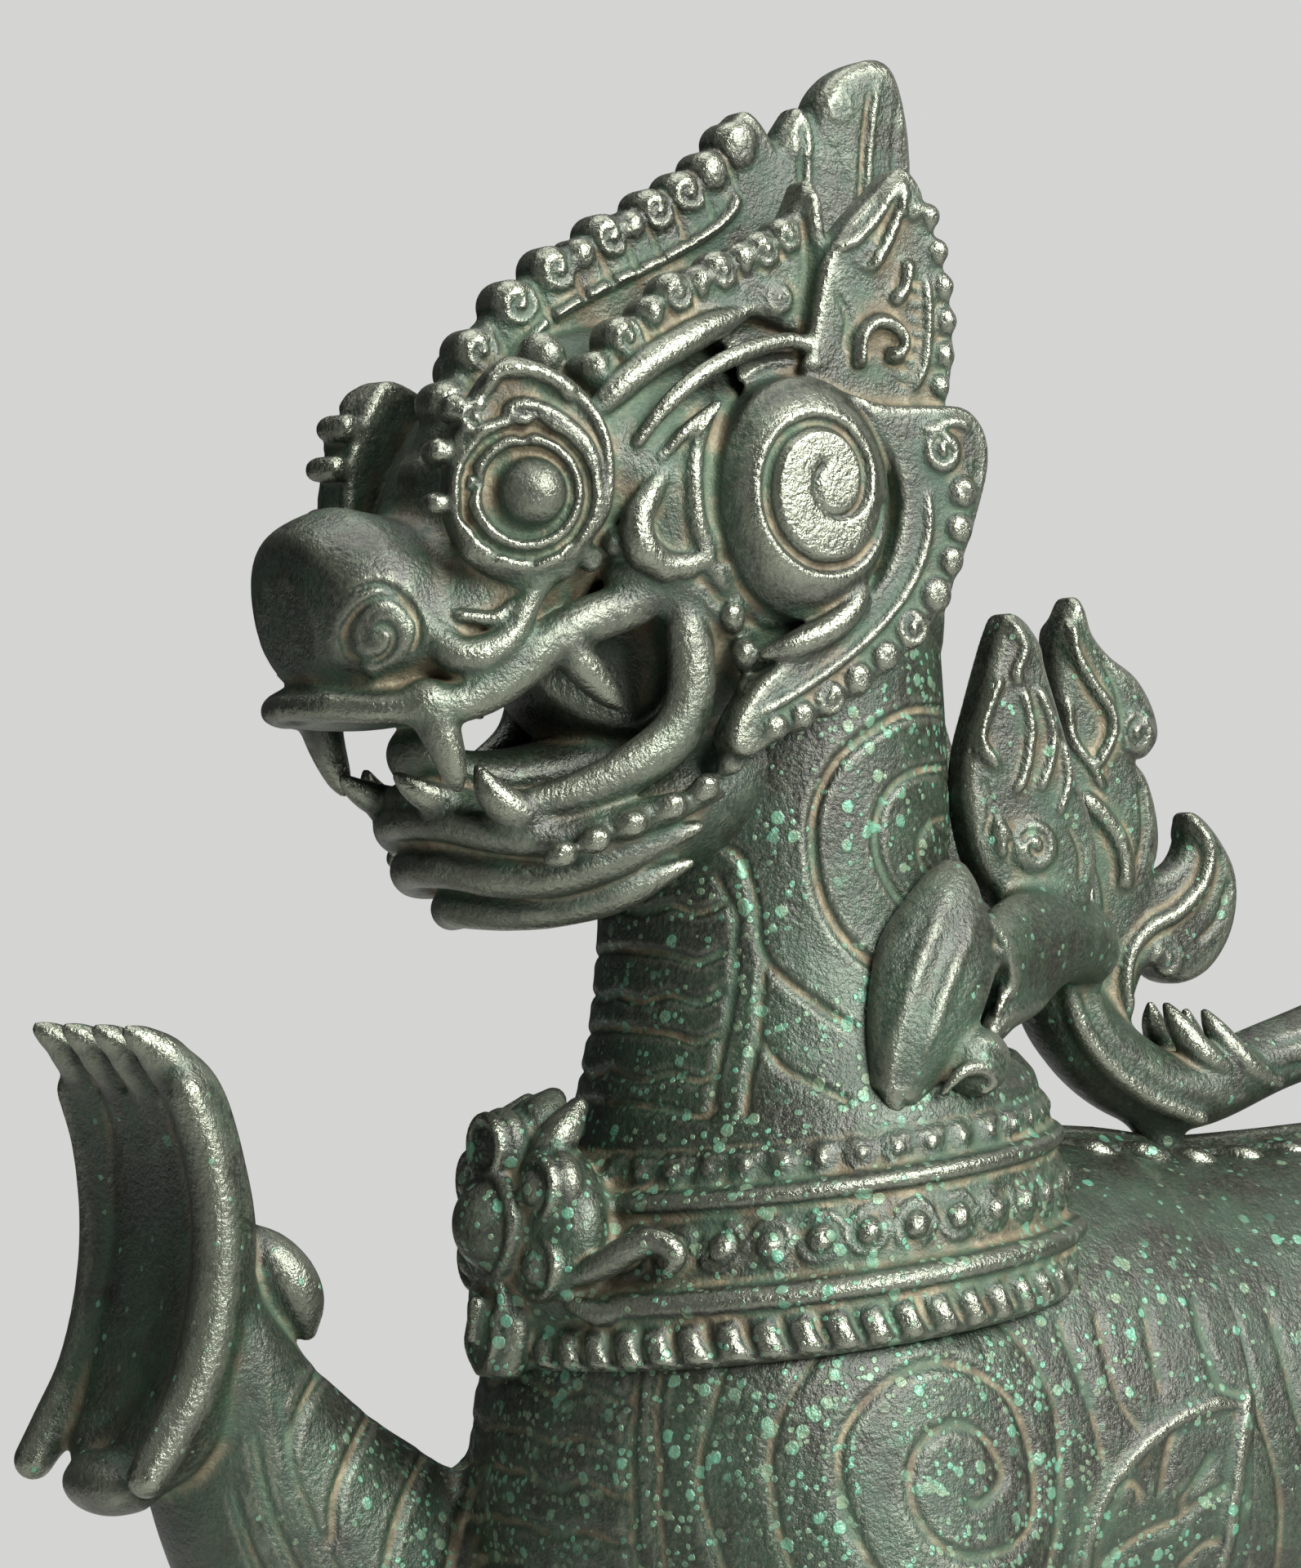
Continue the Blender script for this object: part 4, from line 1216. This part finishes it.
def bronze(name, look, dust=1.0):
    """Dark bronze under a green patina: rubbed bright on the ridges, earth in the hollows, pale green spots."""
    m = Shader(name)
    m.place = m.node("ShaderNodeTexCoord").outputs["Object"]
    ridge = m.node("ShaderNodeAttribute", attribute_name="ridge").outputs["Fac"]
    hollow = m.node("ShaderNodeAttribute", attribute_name="hollow").outputs["Fac"]
    density = m.node("ShaderNodeAttribute", attribute_name="spots").outputs["Fac"]
    cloud, mottle, grain = m.noise(28, 4, 0.6), m.noise(150, 4, 0.62, 0.4), m.noise(900, 3, 0.65)
    # Where the surface has been rubbed, and where earth has stayed.
    relief = m.math("ADD", m.math("MULTIPLY", ridge, 2.2), m.math("MULTIPLY", hollow, 0.45))
    relief = m.math("ADD", relief, m.math("MULTIPLY", m.math("SUBTRACT", mottle, 0.5), 0.75))
    relief = m.math("ADD", relief, m.math("MULTIPLY", m.math("SUBTRACT", grain, 0.5), 0.35))
    rubbed = m.span(relief, 0.12, 0.95)
    earthy = m.span(m.math("SUBTRACT", m.math("MULTIPLY", m.math("SUBTRACT", cloud, 0.5), 0.6), relief), 0.12, 0.75)
    earthy = m.math("MULTIPLY", earthy, look.earth * dust)
    green = m.span(m.math("ADD", m.math("MULTIPLY", cloud, 0.6), m.math("MULTIPLY", mottle, 0.4)), 0.40, 0.62)
    colour = m.mix(green, (*look.dark, 1), (*look.green, 1))
    colour = m.mix(m.span(grain, 0.35, 0.75, 0, 0.55), colour, (*look.grey, 1))
    colour = m.mix(m.math("MULTIPLY", rubbed, 0.85), colour, (*look.metal, 1))
    teal = m.math("MULTIPLY", m.span(m.noise(60, 4, 0.6), 0.45, 0.60), m.span(relief, -0.6, 0.35, 1.0, 0.0))
    colour = m.mix(m.math("MULTIPLY", teal, 0.55), colour, (*look.teal, 1))
    soil = m.mix(m.span(mottle, 0.35, 0.7), (*look.earth_dark, 1), (*look.earth_light, 1))
    colour = m.mix(earthy, colour, m.mix(m.math("MULTIPLY", teal, 0.7), soil, (*look.teal, 1)))
    # Round spots of pale green corrosion in two sizes.
    spots = 0.0
    for scale, size, few in ((230, 0.38, 0.42), (480, 0.40, 0.36)):
        cells = m.node("ShaderNodeTexVoronoi", feature="F1")
        wobble = m.node("ShaderNodeVectorMath", m.place, operation="ADD")
        drift = m.node("ShaderNodeVectorMath", operation="SCALE")
        warp = m.node("ShaderNodeTexNoise")
        m.put(warp.inputs["Vector"], m.place)
        warp.inputs["Scale"].default_value = 700
        m.put(drift.inputs[0], warp.outputs["Color"])
        drift.inputs["Scale"].default_value = 0.0009
        m.put(wobble.inputs[1], drift.outputs[0])
        m.put(cells.inputs["Vector"], wobble.outputs[0])
        cells.inputs["Scale"].default_value = scale
        chance = m.node("ShaderNodeSeparateColor", cells.outputs["Color"]).outputs[0]
        there = m.span(m.math("ADD", chance, m.math("MULTIPLY", m.math("SUBTRACT", density, 1), 0.8)), few, few + 0.1)
        disc = m.span(cells.outputs["Distance"], size * 0.72, size, 1.0, 0.0)
        spots = m.math("MAXIMUM", spots, m.math("MULTIPLY", there, disc))
    clumps = m.span(m.noise(45, 3), 0.36, 0.52)
    spots = m.math("MULTIPLY", spots, clumps)
    pale = m.mix(m.span(mottle, 0.35, 0.65), (*look.spot_dull, 1), (*look.spot, 1))
    colour = m.mix(m.math("MULTIPLY", spots, 0.8), colour, pale)
    shader = m.surface
    m.put(shader.inputs["Base Color"], colour)
    shine = m.math("MULTIPLY", rubbed, m.math("SUBTRACT", 1.0, m.math("MAXIMUM", earthy, m.math("MULTIPLY", spots, 0.7))))
    m.put(shader.inputs["Metallic"], m.span(shine, 0.0, 1.0, 0.3, 0.9))
    rough = m.math("ADD", m.span(shine, 0.0, 0.9, 0.37, 0.25), m.math("MULTIPLY", m.math("SUBTRACT", grain, 0.45), 0.4))
    m.put(shader.inputs["Roughness"], m.math("ADD", rough, m.math("MULTIPLY", m.math("MAXIMUM", earthy, teal), 0.3), clamp=True))
    shader.inputs["IOR"].default_value = 1.55
    height = m.math("ADD", m.math("MULTIPLY", mottle, 0.8), m.math("MULTIPLY", grain, 0.6))
    height = m.math("ADD", height, m.math("MULTIPLY", spots, 0.25))
    bump = m.node("ShaderNodeBump")
    bump.inputs["Strength"].default_value = 0.8
    bump.inputs["Distance"].default_value = 0.0008
    m.put(bump.inputs["Height"], height)
    m.put(shader.inputs["Normal"], bump.outputs[0])
    return m.material


def dress(piece, material):
    piece.data.materials.clear()
    piece.data.materials.append(material)


# ---------------------------------------------------------------- what a user may change


def colour(name, description, default):
    return bpy.props.FloatVectorProperty(
        name=name, description=description, default=default, size=3, subtype="COLOR", min=0.0, max=1.0
    )


class LionLook(bpy.types.PropertyGroup):
    head_cell: bpy.props.FloatProperty(
        name="Head wax", description="Size of a wax cell in the head, in millimetres", default=0.6, min=0.4, max=2.0
    )
    neck_cell: bpy.props.FloatProperty(
        name="Neck wax", description="Size of a wax cell in neck, collar and tail, in millimetres", default=0.65, min=0.4, max=2.0
    )
    body_cell: bpy.props.FloatProperty(
        name="Body wax", description="Size of a wax cell in trunk and legs, in millimetres", default=0.9, min=0.6, max=3.0
    )
    earth: bpy.props.FloatProperty(
        name="Earth", description="How much earth stays in the hollows", default=0.85, min=0.0, max=1.0, subtype="FACTOR"
    )
    dark: colour("Dark bronze", "The darkest bronze", (0.009, 0.011, 0.008))
    green: colour("Green patina", "The green film over the bronze", (0.016, 0.037, 0.021))
    grey: colour("Grey bloom", "The dull bloom between the two", (0.050, 0.052, 0.034))
    metal: colour("Rubbed metal", "Ridges polished by hands", (0.17, 0.182, 0.148))
    teal: colour("Teal patches", "The bright green film in the recesses", (0.020, 0.068, 0.042))
    earth_dark: colour("Dark earth", "Earth deep in the grooves", (0.075, 0.060, 0.034))
    earth_light: colour("Dry earth", "Dry earth at the edge of the grooves", (0.21, 0.18, 0.115))
    spot: colour("Bright spots", "Bright green corrosion spots", (0.085, 0.25, 0.17))
    spot_dull: colour("Dull spots", "Dull green corrosion spots", (0.12, 0.17, 0.105))


class LionStudio(bpy.types.PropertyGroup):
    camera_place: bpy.props.FloatVectorProperty(
        name="Camera", description="Where the camera stands", default=(0.9826, -0.6431, 0.4355), subtype="TRANSLATION", unit="LENGTH"
    )
    camera_target: bpy.props.FloatVectorProperty(
        name="Target", description="The point it looks at", default=(-0.0134, -0.0681, 0.4607), subtype="TRANSLATION", unit="LENGTH"
    )
    lens: bpy.props.FloatProperty(name="Lens", description="Focal length", default=119.8, unit="CAMERA", min=20, max=300)
    backdrop: colour("Backdrop", "The pale grey behind the figure", (0.66, 0.66, 0.65))
    key: bpy.props.FloatProperty(name="Main light", description="Power of the large soft light", default=104.0, min=0, unit="POWER")
    fill: bpy.props.FloatProperty(name="Fill light", description="Power of the light from the left", default=2.6, min=0, unit="POWER")
    top: bpy.props.FloatProperty(name="Top light", description="Power of the light from above", default=20.0, min=0, unit="POWER")


# ---------------------------------------------------------------- the steps, one operator each


class LionPart(bpy.types.Operator):
    bl_options = {"REGISTER", "UNDO"}

    def finish(self, context, piece, dust=1.0, name="patinated_bronze"):
        if not piece.data.polygons:
            raise RuntimeError(piece.name + " came out empty")
        material = bpy.data.materials.get(name) or bronze(name, context.scene.lion_look, dust)
        dress(piece, material)
        return {"FINISHED"}


class LION_OT_head(LionPart):
    """Models the head: skull, jaws, crown and frill"""

    bl_idname = "lion.head"
    bl_label = "Head"

    def execute(self, context):
        return self.finish(context, model_head(context.scene.lion_look.head_cell))


class LION_OT_neck(LionPart):
    """Models the neck and its collar with the rosette"""

    bl_idname = "lion.neck"
    bl_label = "Neck and collar"

    def execute(self, context):
        return self.finish(context, model_neck(context.scene.lion_look.neck_cell))


class LION_OT_trunk(LionPart):
    """Models the trunk with its legs, and the raised foreleg"""

    bl_idname = "lion.trunk"
    bl_label = "Trunk and legs"

    def execute(self, context):
        cell = context.scene.lion_look.body_cell
        for model in (model_forequarters, model_hindquarters, model_back):
            self.finish(context, model(cell))
        return {"FINISHED"}


class LION_OT_tail(LionPart):
    """Models the tail with its flames and the leaves that clasp the neck"""

    bl_idname = "lion.tail"
    bl_label = "Tail"

    def execute(self, context):
        return self.finish(context, model_tail(context.scene.lion_look.neck_cell))


class LION_OT_plinth(LionPart):
    """Models the plinth"""

    bl_idname = "lion.plinth"
    bl_label = "Plinth"

    def execute(self, context):
        return self.finish(context, model_plinth(context.scene.lion_look.body_cell), 0.8, "plinth_patina")


class LION_OT_stage(bpy.types.Operator):
    """Sets up the floor, the backdrop, the soft lights and the camera"""

    bl_idname = "lion.stage"
    bl_label = "Stage"

    def light(self, context, name, place, target, size, power, tint=(1, 0.985, 0.95)):
        lamp = bpy.data.lights.new(name, "AREA")
        lamp.shape, lamp.size, lamp.size_y, lamp.energy, lamp.color = "RECTANGLE", *size, power, tint
        obj = bpy.data.objects.new(name, lamp)
        obj.location = place
        obj.rotation_euler = (Vector(target) - Vector(place)).to_track_quat("-Z", "Y").to_euler()
        context.collection.objects.link(obj)

    def execute(self, context):
        studio, scene = context.scene.lion_studio, context.scene
        mesh = bpy.data.meshes.new("floor")
        rim = [(FLOOR * math.cos(t), FLOOR * math.sin(t), 0) for t in np.linspace(0, 2 * math.pi, 96, endpoint=False)]
        mesh.from_pydata(rim, [], [list(range(len(rim)))])
        floor = bpy.data.objects.new("floor", mesh)
        scene.collection.objects.link(floor)
        paper = Shader("studio_paper")
        paper.place = paper.node("ShaderNodeTexCoord").outputs["Object"]
        paper.put(paper.surface.inputs["Base Color"], paper.mix(paper.noise(2, 2), (0.58, 0.58, 0.57, 1), (0.63, 0.63, 0.62, 1)))
        paper.surface.inputs["Roughness"].default_value = 0.9
        dress(floor, paper.material)
        eye, target = Vector(studio.camera_place), Vector(studio.camera_target)
        ahead = (target - eye).normalized()
        right = ahead.cross((0, 0, 1)).normalized()
        up = Vector((0, 0, 1))
        middle = Vector((0, -0.05, 0.42))
        self.light(context, "key", middle - ahead * 1.0 + right * 1.05 + up * 0.95, middle, (1.0, 1.2), studio.key)
        self.light(context, "fill", middle - ahead * 0.9 - right * 1.3 + up * 0.45, middle, (0.7, 1.2), studio.fill)
        self.light(context, "top", middle + ahead * 0.15 - right * 0.2 + up * 1.35, middle, (1.3, 0.9), studio.top)
        self.light(context, "rim", middle + ahead * 1.0 + right * 0.9 + up * 0.6, middle, (0.6, 1.2), studio.fill)
        world = bpy.data.worlds.new("studio")
        world.use_nodes = True
        nodes, links = world.node_tree.nodes, world.node_tree.links
        nodes.clear()
        out = nodes.new("ShaderNodeOutputWorld")
        mix = nodes.new("ShaderNodeMixShader")
        path = nodes.new("ShaderNodeLightPath")
        for index, (tint, strength) in enumerate((((0.30, 0.31, 0.32, 1), 0.14), ((*studio.backdrop, 1), 1.0))):
            ground = nodes.new("ShaderNodeBackground")
            ground.inputs[0].default_value, ground.inputs[1].default_value = tint, strength
            links.new(ground.outputs[0], mix.inputs[1 + index])
        links.new(path.outputs["Is Camera Ray"], mix.inputs[0])
        links.new(mix.outputs[0], out.inputs[0])
        scene.world = world
        scene.view_settings.view_transform = "Standard"
        lens = bpy.data.cameras.new("camera")
        lens.lens, lens.sensor_width, lens.sensor_fit = studio.lens, 36, "AUTO"
        camera = bpy.data.objects.new("camera", lens)
        camera.location = eye
        camera.rotation_euler = ahead.to_track_quat("-Z", "Y").to_euler()
        scene.collection.objects.link(camera)
        scene.camera = camera
        return {"FINISHED"}


class LION_PT_panel(bpy.types.Panel):
    """The steps and values of the temple lion"""

    bl_label = "Temple lion"
    bl_idname = "LION_PT_panel"
    bl_space_type = "VIEW_3D"
    bl_region_type = "UI"
    bl_category = "Temple lion"

    def draw(self, context):
        for step in STEPS:
            self.layout.operator(step.bl_idname)
        for group in (context.scene.lion_look, context.scene.lion_studio):
            box = self.layout.box()
            for name in group.bl_rna.properties.keys():
                if name not in ("rna_type", "name"):
                    box.prop(group, name)


STEPS = (LION_OT_head, LION_OT_neck, LION_OT_trunk, LION_OT_tail, LION_OT_plinth, LION_OT_stage)
CLASSES = (LionLook, LionStudio, *STEPS, LION_PT_panel)


def register():
    for each in CLASSES:
        bpy.utils.register_class(each)
    bpy.types.Scene.lion_look = bpy.props.PointerProperty(type=LionLook)
    bpy.types.Scene.lion_studio = bpy.props.PointerProperty(type=LionStudio)


def unregister():
    del bpy.types.Scene.lion_look, bpy.types.Scene.lion_studio
    for each in reversed(CLASSES):
        bpy.utils.unregister_class(each)


def main():
    register()
    for step in STEPS:
        area, name = step.bl_idname.split(".")
        getattr(getattr(bpy.ops, area), name)()


if __name__ == "__main__":
    main()
